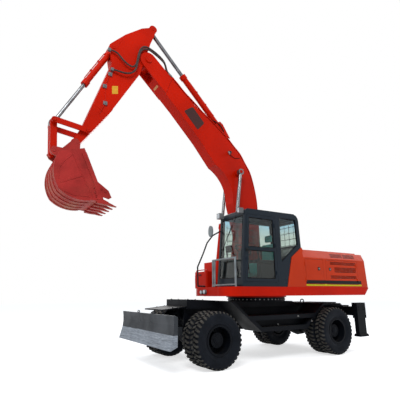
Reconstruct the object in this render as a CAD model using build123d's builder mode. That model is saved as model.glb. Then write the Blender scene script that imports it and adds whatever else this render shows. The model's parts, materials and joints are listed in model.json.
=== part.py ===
# Large wheeled excavator with twin tyres, a dozer blade in front and outriggers behind.
# Millimetres. X points forward, Y to the machine's left, Z up, the floor is at Z = 0.
# The origin lies on the floor under the middle of the whole machine.
import math
import os
from build123d import *

os.makedirs("parts", exist_ok=True)

# Main places
swing_x = -1190
front_axle_x = swing_x + 1980
wheelbase = 3350
rear_axle_x = front_axle_x - wheelbase
machine_width = 2600

# Clearances
pin_gap = 0.4
side_gap = 6
seat_gap = 0.3
door_gap = 6

# Wheels
tyre_radius = 527.5
lug_height = 24
tyre_width = 280
tyre_bead_radius = 262
twin_spacing = 320
rim_radius = tyre_bead_radius - seat_gap
rim_wall = 16
rim_disc = 18
axle_z = tyre_radius
outer_tyre_y = machine_width / 2 - tyre_width / 2
inner_tyre_y = outer_tyre_y - twin_spacing
disc_y = (outer_tyre_y + inner_tyre_y) / 2
hub_radius = 138
hub_nose = 175
drum_radius = 205
spindle_radius = 62
kingpin_y = disc_y - 400
kingpin_radius = 45
drum_face_y = disc_y - 275
drum_outer_y = disc_y - 100
spindle_end_y = disc_y + 90

# Chassis
nose_top = 1272
frame_top = 1205
rear_top = 1155
frame_bottom = 1085
frame_half = 470
nose_x = front_axle_x + 268
tail_x = rear_axle_x - 1030
web_half = 300
web_bottom = 745
step_half = 1060
step_top = 1150
step_bottom = 600
shelf_z = 925
gusset_top = 1230
flange_t = 90
pocket_depth = 220

# Slewing ring
ring_radius = 700
ring_height = 95
ring_split = frame_top + ring_height
deck_bottom = ring_split + 35

# Upper body
deck_rear = swing_x - 2720
deck_half = 1270
deck_top = 1525
boom_y = -100

# Boom pins, seen from the side
foot_x = swing_x + 50
foot_z = 1930
boom_base_x = swing_x + 900
boom_base_z = 1600
boom_eye_x = foot_x + 475
boom_eye_z = foot_z + 2510
stick_pin_x = foot_x + 3070
stick_pin_z = foot_z + 4970
arm_base_x = foot_x + 940
arm_base_z = foot_z + 3835
boom_half = 175
foot_pin_radius = 50
boom_ram_y = 320
boom_barrel_radius = 68
boom_base_pin = 40
arm_barrel_radius = 75
arm_base_pin = 45

# Stick and its pins
stick_half = 150
arm_eye_x = stick_pin_x - 115
arm_eye_z = stick_pin_z + 970
bucket_base_x = stick_pin_x + 860
bucket_base_z = stick_pin_z + 60
bucket_pin_x = stick_pin_x + 1528
bucket_pin_z = stick_pin_z - 2488
idler_pin_x = bucket_pin_x - 218
idler_pin_z = bucket_pin_z + 298
rod_pin_x = idler_pin_x + 675
rod_pin_z = idler_pin_z + 85
link_pin_x = bucket_pin_x + 404
link_pin_z = bucket_pin_z - 254
bucket_barrel_radius = 65
bucket_base_pin = 45
rod_eye_half = 45
gland_l = 120
gland_step = 16

# Dozer blade and its pins
bracket_y = 330
bracket_w = 50
blade_pin_x = nose_x - 60
blade_pin_z = 640
blade_pin_radius = 35
blade_face_x = front_axle_x + 1000
blade_ram_y = 150
blade_barrel_radius = 48
blade_base_pin = 25
blade_base_x = nose_x + 70
blade_base_z = 1030
blade_eye_x = blade_face_x - 160
blade_eye_z = 600


def side(y):
    # plane seen from the left side, with X across and Z up
    return Plane(origin=(0, y, 0), x_dir=(1, 0, 0), z_dir=(0, -1, 0))


def along(x, y, z, dx, dz):
    # plane square to a direction in the XZ plane, for round bars and barrels
    return Plane(origin=(x, y, z), x_dir=(0, 1, 0), z_dir=(dx, 0, dz))


def unit(x0, z0, x1, z1):
    length = math.hypot(x1 - x0, z1 - z0)
    return (x1 - x0) / length, (z1 - z0) / length, length


# Hydraulic rams: pins, centre lines, radii, barrel length, where the rod ends inside at rest, eye and pin radii
ram_wall = 14
ram_table = [
    # name, base x, base z, eye x, eye z, centres, barrel r, rod r, barrel length, rod end, eye r, pin r
    ("boom_ram", boom_base_x, boom_base_z, boom_eye_x, boom_eye_z, (boom_y - boom_ram_y, boom_y + boom_ram_y),
     boom_barrel_radius, 42, 1560, 1300, 80, boom_base_pin),
    ("arm_ram", arm_base_x, arm_base_z, arm_eye_x, arm_eye_z, (boom_y,), arm_barrel_radius, 48, 1600, 1340, 85, arm_base_pin),
    ("bucket_ram", bucket_base_x, bucket_base_z, rod_pin_x, rod_pin_z, (boom_y,), bucket_barrel_radius, 42, 1230, 662, 80,
     bucket_base_pin),
    ("blade_ram", blade_base_x, blade_base_z, blade_eye_x, blade_eye_z, (-blade_ram_y, blade_ram_y), blade_barrel_radius,
     30, 420, 150, 50, blade_base_pin),
]
for name, bx, bz, ex, ez, centres, barrel_r, rod_r, barrel_l, rod_end, eye_r, pin_r in ram_table:
    dx, dz, length = unit(bx, bz, ex, ez)
    with BuildPart() as barrel:
        for y in centres:
            with BuildSketch(along(bx, y, bz, dx, dz)):
                Circle(barrel_r)
            extrude(amount=barrel_l)
            with BuildSketch(along(bx + dx * (barrel_l - gland_l), y, bz + dz * (barrel_l - gland_l), dx, dz)):
                Circle(barrel_r + gland_step)
            extrude(amount=gland_l)
            with BuildSketch(side(y)):
                with Locations((bx, bz)):
                    Circle(eye_r)
            extrude(amount=barrel_r, both=True)
            with BuildSketch(side(y)):
                with Locations((bx, bz)):
                    Circle(pin_r + pin_gap)
            extrude(amount=barrel_r * 2, both=True, mode=Mode.SUBTRACT)
            with BuildSketch(along(bx + dx * (pin_r + ram_wall), y, bz + dz * (pin_r + ram_wall), dx, dz)):
                Circle(rod_r + pin_gap)
            extrude(amount=barrel_l, mode=Mode.SUBTRACT)
    barrel.part.label = name + "_barrel"
    export_step(barrel.part, "parts/" + name + "_barrel.step")
    with BuildPart() as rod:
        for y in centres:
            with BuildSketch(along(bx + dx * rod_end, y, bz + dz * rod_end, dx, dz)):
                Circle(rod_r)
            extrude(amount=length - rod_end)
            with BuildSketch(side(y)):
                with Locations((ex, ez)):
                    Circle(eye_r)
            extrude(amount=rod_eye_half, both=True)
    rod.part.label = name + "_rod"
    export_step(rod.part, "parts/" + name + "_rod.step")

# Chassis frame: a shallow top box, a deep web below it, blade brackets and the jack housings
rear_plate_half = 690
rear_plate_z = 1130
gusset_rear_x = front_axle_x - 3300
cover_z = 1140
cover_l = 540
cover_fall = 55
cover_t = 25
ram_lug = 14
jack_x = swing_x - 2467
jack_length = 340
jack_width = 150
jack_y = 1105
jack_wall = 20
jack_top = 1145
jack_bottom = 767
foot_z0 = 330
foot_l = 360
foot_w = 200
jack_travel = 350
with BuildPart() as chassis_frame:
    with BuildSketch(side(0)):
        with BuildLine():
            Polyline((tail_x, frame_bottom), (nose_x, frame_bottom), (nose_x, nose_top), (nose_x - 125, nose_top),
                     (swing_x + ring_radius, frame_top), (swing_x - ring_radius - 70, frame_top),
                     (swing_x - ring_radius - 110, rear_top - 20), (swing_x - ring_radius - 300, rear_top - 20),
                     (swing_x - ring_radius - 330, rear_top), (tail_x, rear_top), close=True)
        make_face()
    extrude(amount=frame_half, both=True)
    with BuildSketch(side(0)):
        with BuildLine():
            Polyline((tail_x, frame_bottom), (tail_x + 150, web_bottom + 60), (rear_axle_x - 200, web_bottom),
                     (rear_axle_x + 300, web_bottom),
                     (rear_axle_x + 500, step_bottom), (front_axle_x - 900, step_bottom),
                     (front_axle_x - 500, web_bottom), (nose_x - 120, web_bottom), (nose_x, frame_bottom),
                     close=True)
        make_face()
    extrude(amount=web_half, both=True)
    for y in (-bracket_y, bracket_y):
        with BuildSketch(side(y)):
            with BuildLine():
                Polyline((nose_x - 230, frame_bottom), (nose_x, frame_bottom), (nose_x + 10, blade_pin_z),
                         (nose_x - 20, blade_pin_z - 60), (nose_x - 100, blade_pin_z - 60),
                         (nose_x - 130, blade_pin_z), close=True)
            make_face()
        extrude(amount=bracket_w / 2, both=True)
        with BuildSketch(side(y)):
            with Locations((blade_pin_x, blade_pin_z)):
                Circle(blade_pin_radius + pin_gap)
        extrude(amount=bracket_w / 2, both=True, mode=Mode.SUBTRACT)
    with BuildSketch(side(0)):
        with BuildLine():
            Polyline((gusset_rear_x - seat_gap, frame_bottom), (tail_x + 130, frame_bottom),
                     (tail_x - 50, frame_bottom - 110), (tail_x - 50, frame_bottom - 70),
                     (tail_x + 110, rear_plate_z), (gusset_rear_x - seat_gap, rear_plate_z), close=True)
        make_face()
    extrude(amount=rear_plate_half, both=True)
    with BuildSketch(side(0)):
        with BuildLine():
            Polyline((nose_x - 20, cover_z), (nose_x + cover_l, cover_z - cover_fall),
                     (nose_x + cover_l, cover_z - cover_fall - cover_t), (nose_x - 20, cover_z - cover_t), close=True)
        make_face()
    extrude(amount=frame_half - 20, both=True)
    for y in (-blade_ram_y, blade_ram_y):
        for s in (-1, 1):
            with BuildSketch(side(y + s * (blade_barrel_radius + side_gap + ram_lug / 2))):
                with BuildLine():
                    Polyline((nose_x - 40, blade_base_z + 110), (nose_x + 20, blade_base_z + 110),
                             (blade_base_x + 45, blade_base_z + 20), (blade_base_x + 40, blade_base_z - 40),
                             (nose_x - 40, blade_base_z - 190), close=True)
                make_face()
            extrude(amount=ram_lug / 2, both=True)
        with BuildSketch(side(y)):
            with Locations((blade_base_x, blade_base_z)):
                Circle(blade_base_pin)
        extrude(amount=blade_barrel_radius + side_gap + ram_lug, both=True)
    with BuildSketch(Plane.XY.offset(jack_bottom + 60)):
        with Locations((jack_x, 0)):
            Rectangle(jack_length - 110, 2 * jack_y - jack_width + jack_wall)
    extrude(amount=220)
    for y in (-jack_y, jack_y):
        with BuildSketch(Plane.XY.offset(jack_bottom)):
            with Locations((jack_x, y)):
                Rectangle(jack_length, jack_width)
        extrude(amount=jack_top - jack_bottom)
        with BuildSketch(Plane.XY.offset(jack_bottom)):
            with Locations((jack_x, y)):
                Rectangle(jack_length - 2 * jack_wall, jack_width - 2 * jack_wall)
        extrude(amount=jack_top - jack_bottom - jack_wall, mode=Mode.SUBTRACT)
chassis_frame.part.label = "chassis_frame"
export_step(chassis_frame.part, "parts/chassis_frame.step")

# Jack legs with their feet
for name, y in (("left_jack_leg", jack_y), ("right_jack_leg", -jack_y)):
    with BuildPart() as jack_leg:
        with BuildSketch(Plane.XY.offset(foot_z0 + 60)):
            with Locations((jack_x, y)):
                Rectangle(jack_length - 2 * jack_wall - 2 * pin_gap, jack_width - 2 * jack_wall - 2 * pin_gap)
        extrude(amount=jack_top - 2 * jack_wall - foot_z0 - 65)
        with BuildSketch(Plane.XY.offset(foot_z0)):
            with Locations((jack_x, y)):
                RectangleRounded(foot_l, foot_w, 30)
        extrude(amount=60, taper=10)
    jack_leg.part.label = name
    export_step(jack_leg.part, "parts/" + name + ".step")

# Side boxes and steps between the axles
with BuildPart() as side_boxes:
    for y in (-1, 1):
        with BuildSketch(side(y * (frame_half + step_half) / 2)):
            with BuildLine():
                Polyline((front_axle_x - 1220, step_bottom), (front_axle_x - 2580, step_bottom),
                         (front_axle_x - 3020, step_top - 150), (front_axle_x - 3190, step_top - 45),
                         (gusset_rear_x, step_top - 35), (gusset_rear_x, step_top),
                         (front_axle_x - 3190, step_top), (front_axle_x - 2875, shelf_z),
                         (front_axle_x - 880, shelf_z),
                         (front_axle_x - 530, gusset_top), (front_axle_x - 430, gusset_top), close=True)
            make_face()
        extrude(amount=(step_half - frame_half) / 2 - seat_gap, both=True)
        with BuildSketch(side(y * step_half)):
            with BuildLine():
                Polyline((front_axle_x - 1040, shelf_z - flange_t), (front_axle_x - 2790, shelf_z - flange_t),
                         (front_axle_x - 2540, step_bottom + flange_t), (front_axle_x - 1220, step_bottom + flange_t),
                         close=True)
            make_face()
        extrude(amount=pocket_depth, both=True, mode=Mode.SUBTRACT)
side_boxes.part.label = "side_boxes"
export_step(side_boxes.part, "parts/side_boxes.step")

# Slewing ring, fixed half
with BuildPart() as slewing_ring:
    with BuildSketch(Plane.XY.offset(frame_top)):
        with Locations((swing_x, 0)):
            Circle(ring_radius)
            Circle(ring_radius - 120, mode=Mode.SUBTRACT)
    extrude(amount=ring_split - frame_top - seat_gap)
slewing_ring.part.label = "slewing_ring"
export_step(slewing_ring.part, "parts/slewing_ring.step")

# Axles: a tube, a differential, and drums behind or yokes in front
axle_tube_radius = 105
diff_radius = 185
yoke_z = 130
yoke_half = 30
yoke_end_y = kingpin_y + 72
saddle_y = 235
saddle_w = 90
saddle_l = 170
with BuildPart() as rear_axle:
    with BuildSketch(side(0)):
        with Locations((rear_axle_x, axle_z)):
            Circle(axle_tube_radius)
    extrude(amount=drum_face_y, both=True)
    with BuildSketch(side(0)):
        with Locations((rear_axle_x, axle_z)):
            Circle(spindle_radius)
    extrude(amount=spindle_end_y, both=True)
    with BuildSketch(side(0)):
        with Locations((rear_axle_x, axle_z)):
            Circle(diff_radius)
    extrude(amount=170, both=True, taper=12)
    with BuildSketch(Plane.XY.offset(axle_z)):
        with Locations((rear_axle_x, -saddle_y), (rear_axle_x, saddle_y)):
            Rectangle(saddle_l, saddle_w)
    extrude(amount=web_bottom - seat_gap - axle_z)
    for y in (-1, 1):
        with BuildSketch(side(y * (drum_face_y + drum_outer_y) / 2)):
            with Locations((rear_axle_x, axle_z)):
                Circle(drum_radius)
        extrude(amount=(drum_outer_y - drum_face_y) / 2, both=True)
rear_axle.part.label = "rear_axle"
export_step(rear_axle.part, "parts/rear_axle.step")

with BuildPart() as front_axle:
    with BuildSketch(side(0)):
        with Locations((front_axle_x, axle_z)):
            Circle(axle_tube_radius)
    extrude(amount=kingpin_y - 110, both=True)
    with BuildSketch(side(0)):
        with Locations((front_axle_x, axle_z)):
            Circle(diff_radius)
    extrude(amount=170, both=True, taper=12)
    with BuildSketch(Plane.XY.offset(axle_z)):
        with Locations((front_axle_x, 0)):
            Rectangle(saddle_l, saddle_w)
    extrude(amount=web_bottom - seat_gap - axle_z)
    for y in (-1, 1):
        for z in (-1, 1):
            with BuildSketch(Plane.XY.offset(axle_z + z * yoke_z)):
                with Locations((front_axle_x, y * (yoke_end_y + kingpin_y - 140) / 2)):
                    Rectangle(140, yoke_end_y - kingpin_y + 140)
            extrude(amount=yoke_half, both=True)
        with BuildSketch(side(y * (kingpin_y - 125))):
            with Locations((front_axle_x, axle_z)):
                Rectangle(140, 2 * yoke_z)
        extrude(amount=15, both=True)
        with BuildSketch(Plane.XY.offset(axle_z - yoke_z - yoke_half)):
            with Locations((front_axle_x, y * kingpin_y)):
                Circle(kingpin_radius + pin_gap)
        extrude(amount=2 * (yoke_z + yoke_half), mode=Mode.SUBTRACT)
front_axle.part.label = "front_axle"
export_step(front_axle.part, "parts/front_axle.step")

# Steering knuckles with their kingpins, drums and spindles
for name, y in (("left_knuckle", 1), ("right_knuckle", -1)):
    with BuildPart() as knuckle:
        with BuildSketch(Plane.XY.offset(axle_z - yoke_z - yoke_half)):
            with Locations((front_axle_x, y * kingpin_y)):
                Circle(kingpin_radius)
        extrude(amount=2 * (yoke_z + yoke_half))
        with BuildSketch(Plane.XY.offset(axle_z - yoke_z + yoke_half + side_gap)):
            with Locations((front_axle_x, y * kingpin_y)):
                Circle(kingpin_radius + 25)
        extrude(amount=2 * (yoke_z - yoke_half - side_gap))
        with BuildSketch(side(y * (kingpin_y + drum_outer_y) / 2)):
            with Locations((front_axle_x, axle_z)):
                Circle(80)
        extrude(amount=(drum_outer_y - kingpin_y) / 2, both=True)
        with BuildSketch(side(y * (drum_face_y + drum_outer_y) / 2)):
            with Locations((front_axle_x, axle_z)):
                Circle(drum_radius)
        extrude(amount=(drum_outer_y - drum_face_y) / 2, both=True)
        with BuildSketch(side(y * (drum_face_y + spindle_end_y) / 2)):
            with Locations((front_axle_x, axle_z)):
                Circle(spindle_radius)
        extrude(amount=(spindle_end_y - drum_face_y) / 2, both=True)
    knuckle.part.label = name
    export_step(knuckle.part, "parts/" + name + ".step")

# Twin wheels: every ring of the rims and hub as inner and outer distance from the disc, and radii
rim_half = 110
lip = 11
lip_radius = 284
rim_inner = rim_radius - rim_wall
half_twin = twin_spacing / 2
rim_rings = [
    (half_twin - rim_half, half_twin + rim_half, rim_inner, rim_radius),
    (half_twin + rim_half - lip, half_twin + rim_half, rim_inner, lip_radius),
    (half_twin - rim_half, half_twin - rim_half + lip, rim_inner, lip_radius),
    (-half_twin - rim_half, -half_twin + rim_half, rim_inner, rim_radius),
    (-half_twin - rim_half, -half_twin - rim_half + lip, rim_inner, lip_radius),
    (-half_twin + rim_half - lip, -half_twin + rim_half, rim_inner, lip_radius),
    (-half_twin + rim_half, half_twin - rim_half, rim_inner - 12, rim_inner + 6),
    (-rim_disc, rim_disc, hub_radius - 20, rim_inner),
    (-70, hub_nose, spindle_radius + pin_gap, hub_radius),
    (95, hub_nose, 0, hub_radius),
]
wheel_table = [
    ("front_left", front_axle_x, 1), ("front_right", front_axle_x, -1),
    ("rear_left", rear_axle_x, 1), ("rear_right", rear_axle_x, -1),
]

# One tyre in flat facets: lugs across the tread, with one at the bottom that stands flat on the floor
lug_count = 36
lug_pitch = 2 * math.pi / lug_count
lug_angle = lug_pitch * 0.32
tread_half = 112
wide_radius = 428
bead_half = rim_half - lip - 7
tip_radius = tyre_radius / math.cos(lug_angle)
groove_radius = tyre_radius - lug_height
bore_radius = tyre_bead_radius / math.cos(lug_pitch / 2)
# radius and half width at the shoulder, the widest place and the bead
tyre_rings = [(groove_radius, tread_half), (wide_radius, tyre_width / 2), (bore_radius, bead_half)]


def facet(*spots):
    # flat face through spots given as radius, angle from the bottom, and distance along the axle
    return Face(Wire.make_polygon([(r * math.sin(t), y, -r * math.cos(t)) for r, t, y in spots], close=True))


tyre_faces = []
for i in range(lug_count):
    a, b = (i - 0.5) * lug_pitch, (i + 0.5) * lug_pitch
    tread = [(groove_radius, a), (tip_radius, i * lug_pitch - lug_angle), (tip_radius, i * lug_pitch + lug_angle),
             (groove_radius, b)]
    for (r0, t0), (r1, t1) in zip(tread, tread[1:]):
        tyre_faces.append(facet((r0, t0, -tread_half), (r1, t1, -tread_half), (r1, t1, tread_half), (r0, t0, tread_half)))
    for s in (-1, 1):
        tyre_faces.append(facet(*[(r, t, s * tread_half) for r, t in tread]))
        for (r0, y0), (r1, y1) in zip(tyre_rings, tyre_rings[1:]):
            tyre_faces.append(facet((r0, a, s * y0), (r0, b, s * y0), (r1, b, s * y1), (r1, a, s * y1)))
    tyre_faces.append(facet((bore_radius, a, -bead_half), (bore_radius, b, -bead_half), (bore_radius, b, bead_half),
                            (bore_radius, a, bead_half)))
one_tyre = Solid(Shell(tyre_faces))

for name, x, hand in wheel_table:
    wheel_axis = Axis((x, 0, axle_z), (0, 1, 0))
    across = Plane(origin=(x, 0, axle_z), x_dir=(0, 1, 0), z_dir=(1, 0, 0))
    with BuildPart() as tyres:
        with Locations((x, hand * inner_tyre_y, axle_z), (x, hand * outer_tyre_y, axle_z)):
            add(one_tyre)
    tyres.part.label = name + "_tyres"
    export_step(tyres.part, "parts/" + name + "_tyres.step")
    with BuildPart() as rims:
        for near, far, r_in, r_out in rim_rings:
            with BuildSketch(across):
                with Locations((hand * (disc_y + (near + far) / 2), (r_in + r_out) / 2)):
                    Rectangle(far - near, r_out - r_in)
            revolve(axis=wheel_axis)
    rims.part.label = name + "_rims"
    export_step(rims.part, "parts/" + name + "_rims.step")

# Dozer blade with its arms
blade_half = 1290
blade_top_z = 1007
blade_bottom_z = 422
blade_toe_x = front_axle_x + 1071
blade_depth = 92
arm_y = bracket_y - bracket_w / 2 - side_gap - 20
with BuildPart() as blade:
    with BuildSketch(side(0)):
        with BuildLine():
            Polyline((blade_face_x, blade_top_z), (blade_face_x - 22, 840), (blade_face_x, 665),
                     (blade_toe_x, blade_bottom_z), (blade_toe_x - 30, blade_bottom_z),
                     (blade_face_x - 40, 655), (blade_face_x - 60, 840), (blade_face_x - 45, blade_top_z), close=True)
        make_face()
    extrude(amount=blade_half, both=True)
    for y in (-blade_half + 15, -arm_y, arm_y, blade_half - 15):
        with BuildSketch(side(y)):
            with BuildLine():
                Polyline((blade_face_x - 10, blade_top_z), (blade_face_x - blade_depth, blade_top_z - 20),
                         (blade_face_x - blade_depth, blade_bottom_z + 60), (blade_toe_x - 30, blade_bottom_z),
                         (blade_face_x - 20, 665), close=True)
            make_face()
        extrude(amount=15, both=True)
    for y in (-arm_y, arm_y):
        with BuildSketch(side(y)):
            with BuildLine():
                Polyline((blade_face_x - 50, 780), (blade_pin_x, blade_pin_z + 70), (blade_pin_x - 70, blade_pin_z),
                         (blade_pin_x, blade_pin_z - 70), (blade_face_x - 50, 500), close=True)
            make_face()
        extrude(amount=20, both=True)
        with BuildSketch(side(y)):
            with Locations((blade_pin_x, blade_pin_z)):
                Circle(blade_pin_radius)
        extrude(amount=80, both=True)
    for y in (-blade_ram_y, blade_ram_y):
        for s in (-1, 1):
            with BuildSketch(side(y + s * (rod_eye_half + side_gap + ram_lug / 2))):
                with BuildLine():
                    Polyline((blade_face_x - 50, blade_eye_z + 130), (blade_eye_x, blade_eye_z + 55),
                             (blade_eye_x - 55, blade_eye_z), (blade_eye_x, blade_eye_z - 55),
                             (blade_face_x - 5, blade_eye_z - 100), close=True)
                make_face()
            extrude(amount=ram_lug / 2, both=True)
blade.part.label = "blade"
export_step(blade.part, "parts/blade.step")

# Slewing deck: platforms each side of the boom, a low middle in front of the boom, and the boom brackets
cab_right = 330
cab_left = deck_half - 20
platform_x = 560
centre_x = -150
low_x = boom_base_x - 200
boom_lug = 24
low_z = 1440
right_front_x = 0
right_inner = boom_y - boom_ram_y - boom_barrel_radius - 2 * boom_lug
corner = 340
skirt_rise = 165
foot_plate = 50
foot_bracket_y = boom_half + side_gap + foot_plate / 2
with BuildPart() as deck:
    with BuildSketch(Plane.XY.offset(deck_bottom)):
        with BuildLine():
            Polyline((right_front_x - 380, -deck_half), (deck_rear, -deck_half), (deck_rear, deck_half),
                     (platform_x - corner, deck_half))
            ThreePointArc((platform_x - corner, deck_half), (platform_x - corner * 0.25, deck_half - corner * 0.33),
                          (platform_x, deck_half - corner * 1.15))
            Polyline((platform_x, deck_half - corner * 1.15), (platform_x, cab_right), (centre_x, cab_right),
                     (centre_x, right_inner), (right_front_x, right_inner), (right_front_x, right_inner - 180))
            ThreePointArc((right_front_x, right_inner - 180), (right_front_x - 90, -deck_half + 200),
                          (right_front_x - 380, -deck_half))
        make_face()
    extrude(amount=deck_top - deck_bottom)
    with BuildSketch(side(0)):
        with BuildLine():
            Polyline((deck_rear - 1, deck_bottom - 1), (deck_rear - 1, deck_bottom + skirt_rise),
                     (deck_rear + skirt_rise, deck_bottom - 1), close=True)
        make_face()
    extrude(amount=deck_half + 1, both=True, mode=Mode.SUBTRACT)
    with BuildSketch(Plane.XY.offset(low_z)):
        with Locations(((low_x + centre_x) / 2, (cab_right + right_inner) / 2)):
            Rectangle(centre_x - low_x, cab_right - right_inner)
    extrude(amount=deck_top - low_z, mode=Mode.SUBTRACT)
    with BuildSketch(Plane.XY.offset(ring_split)):
        with Locations((swing_x, 0)):
            Circle(ring_radius + 40)
    extrude(amount=deck_bottom - ring_split)
    for y in (boom_y - foot_bracket_y, boom_y + foot_bracket_y):
        with BuildSketch(side(y)):
            with BuildLine():
                Polyline((foot_x - 420, deck_top), (foot_x - 150, foot_z + 60), (foot_x, foot_z + 130),
                         (foot_x + 130, foot_z + 60), (low_x - 20, deck_top), close=True)
            make_face()
        extrude(amount=foot_plate / 2, both=True)
    with BuildSketch(side(boom_y)):
        with Locations((foot_x, foot_z)):
            Circle(foot_pin_radius)
    extrude(amount=foot_bracket_y + foot_plate / 2 + 20, both=True)
    for y in (boom_y - boom_ram_y, boom_y + boom_ram_y):
        for s in (-1, 1):
            with BuildSketch(side(y + s * (boom_barrel_radius + side_gap + boom_lug / 2))):
                with BuildLine():
                    Polyline((boom_base_x - 160, low_z), (boom_base_x - 90, boom_base_z + 30),
                             (boom_base_x, boom_base_z + 90), (boom_base_x + 90, boom_base_z),
                             (boom_base_x + 110, low_z), close=True)
                make_face()
            extrude(amount=boom_lug / 2, both=True)
        with BuildSketch(side(y)):
            with Locations((boom_base_x, boom_base_z)):
                Circle(boom_base_pin)
        extrude(amount=boom_barrel_radius + side_gap + boom_lug, both=True)
deck.part.label = "deck"
export_step(deck.part, "parts/deck.step")

# Hinges: a round barrel on the pin and a leaf that stands off the wall and sits on the door
hinge_r = 7
hinge_l = 90
leaf_half = 4.5
leaf_l = 36


def leaf(x, y, out, way, edge, face):
    # outline from above: out is the side of the machine, way points from the pin to the door with this edge and face
    near, far = edge + way * 5, edge + way * leaf_l
    return [(x, y - out * leaf_half), (near, y - out * leaf_half), (near, face - out), (far, face - out),
            (far, y + out * leaf_half), (x, y + out * leaf_half)]


# Engine housing: walls with rebated door openings, a rim for the lid, and the side panel beside the cab
hood_top = 2390
hood_rail_z = 2170
hood_half = deck_half - 8
bay_front = swing_x - 410
gap_x = swing_x - 1123
bay_rear = swing_x - 2423
door_t = 40
rebate = 25
wall_t = door_t + 20
post_half = 45
lid_half = 860
lid_t = 40
sill_top = deck_top + 60
pin_in = 50
cab_rear_foot_x = -1060
cab_rear_knee_x = -1235
cab_rear_knee_z = 2185
cab_rear_high_x = -1570
cab_rear_high_z = 2425
panel_t = 50
shoulder_z = 2200
shoulder_in = 75
# louvre bands in the rear doors: rear x, front x, bottom, number of slots
slot_h = 14
slot_pitch = 26
louvre_table = [(-3496, -2522, 2062, 3), (-3496, -2666, 1880, 5), (-3490, -2509, 1733, 3)]
hood_z0 = deck_top + seat_gap
# front x and rear x of the doors, the hand they sit on
bay_door_table = [
    ("left_front_door", bay_front - wall_t, gap_x + post_half, 1),
    ("left_rear_door", gap_x - post_half, bay_rear + wall_t, 1),
    ("right_front_door", bay_front - wall_t, gap_x + post_half, -1),
    ("right_rear_door", gap_x - post_half, bay_rear + wall_t, -1),
]
with BuildPart() as engine_housing:
    with BuildSketch(Plane.XY.offset(hood_z0)):
        with Locations(((bay_front + bay_rear) / 2, 0)):
            Rectangle(bay_front - bay_rear, 2 * hood_half)
            Rectangle(bay_front - bay_rear - 2 * wall_t, 2 * (hood_half - wall_t), mode=Mode.SUBTRACT)
    extrude(amount=hood_top - hood_z0)
    with BuildSketch(Plane.XY.offset(hood_top - lid_t)):
        with Locations(((bay_front + bay_rear) / 2, 0)):
            Rectangle(bay_front - bay_rear, 2 * hood_half)
            Rectangle(bay_front - bay_rear - 4 * wall_t, 2 * lid_half - 2 * rebate, mode=Mode.SUBTRACT)
    extrude(amount=lid_t)
    for name, x0, x1, hand in bay_door_table:
        with BuildSketch(side(hand * (hood_half - door_t / 2 - seat_gap / 2))):
            with Locations(((x0 + x1) / 2, (sill_top + hood_rail_z) / 2)):
                Rectangle(x0 - x1, hood_rail_z - sill_top)
        extrude(amount=(door_t + seat_gap) / 2, both=True, mode=Mode.SUBTRACT)
        with BuildSketch(side(hand * (hood_half - wall_t / 2))):
            with Locations(((x0 + x1) / 2, (sill_top + hood_rail_z) / 2)):
                Rectangle(x0 - x1 - 2 * rebate, hood_rail_z - sill_top - 2 * rebate)
        extrude(amount=wall_t / 2, both=True, mode=Mode.SUBTRACT)
    for y in (-1, 1):
        with BuildSketch(Plane(origin=(bay_front, 0, 0), x_dir=(0, 1, 0), z_dir=(1, 0, 0))):
            with BuildLine():
                Polyline((y * (hood_half + 1), shoulder_z), (y * (hood_half + 1), hood_top + 1),
                         (y * (hood_half - shoulder_in), hood_top + 1), close=True)
            make_face()
        extrude(amount=bay_rear - bay_front, mode=Mode.SUBTRACT)
    with BuildSketch(side(hood_half - panel_t / 2)):
        with BuildLine():
            Polyline((cab_rear_foot_x - door_gap, hood_z0), (cab_rear_knee_x - door_gap, cab_rear_knee_z),
                     (cab_rear_high_x - door_gap, cab_rear_high_z), (bay_front, hood_top), (bay_front, hood_z0),
                     close=True)
        make_face()
    extrude(amount=panel_t / 2, both=True)
engine_housing.part.label = "engine_housing"
export_step(engine_housing.part, "parts/engine_housing.step")

with BuildPart() as engine:
    with BuildSketch(Plane.XY.offset(deck_top + seat_gap)):
        with Locations(((bay_rear + gap_x) / 2 + 100, 0)):
            Rectangle(700, 1500)
    extrude(amount=650)
engine.part.label = "engine"
export_step(engine.part, "parts/engine.step")

for name, x0, x1, hand in bay_door_table:
    with BuildPart() as bay_door:
        with BuildSketch(side(hand * (hood_half - door_t / 2))):
            with Locations(((x0 + x1) / 2, (sill_top + hood_rail_z) / 2)):
                Rectangle(x0 - x1 - 2 * door_gap, hood_rail_z - sill_top - 2 * door_gap)
        extrude(amount=door_t / 2, both=True)
        if "rear" in name:
            for rear_x, front_x, z, slots in louvre_table:
                with BuildSketch(side(hand * (hood_half - door_t / 2))):
                    with Locations(*[((rear_x + front_x) / 2, z + i * slot_pitch + slot_h / 2) for i in range(slots)]):
                        Rectangle(front_x - rear_x, slot_h)
                extrude(amount=door_t, both=True, mode=Mode.SUBTRACT)
        pin_x, way, edge = bay_front - pin_in, -1, x0 - door_gap
        if "rear" in name:
            pin_x, way, edge = bay_rear + pin_in, 1, x1 + door_gap
        for z in (sill_top + 110, hood_rail_z - 110):
            with BuildSketch(Plane.XY.offset(z - hinge_l / 2)):
                with BuildLine():
                    Polyline(*leaf(pin_x, hand * (hood_half + 10), hand, way, edge, hand * hood_half), close=True)
                make_face()
                with Locations((pin_x, hand * (hood_half + 10))):
                    Circle(hinge_r)
            extrude(amount=hinge_l)
    bay_door.part.label = name
    export_step(bay_door.part, "parts/" + name + ".step")

with BuildPart() as engine_lid:
    with BuildSketch(Plane.XY.offset(hood_top + seat_gap)):
        with Locations(((bay_front + bay_rear) / 2, 0)):
            Rectangle(bay_front - bay_rear, 2 * lid_half)
    extrude(amount=lid_t)
    for y in (-600, 600):
        with BuildSketch(side(y)):
            with Locations((bay_front, hood_top + lid_t)):
                Circle(hinge_r + 5)
        extrude(amount=hinge_l, both=True)
engine_lid.part.label = "engine_lid"
export_step(engine_lid.part, "parts/engine_lid.step")

weight_bulge = 140
weight_lean = 38
weight_top = hood_top - 25
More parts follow.
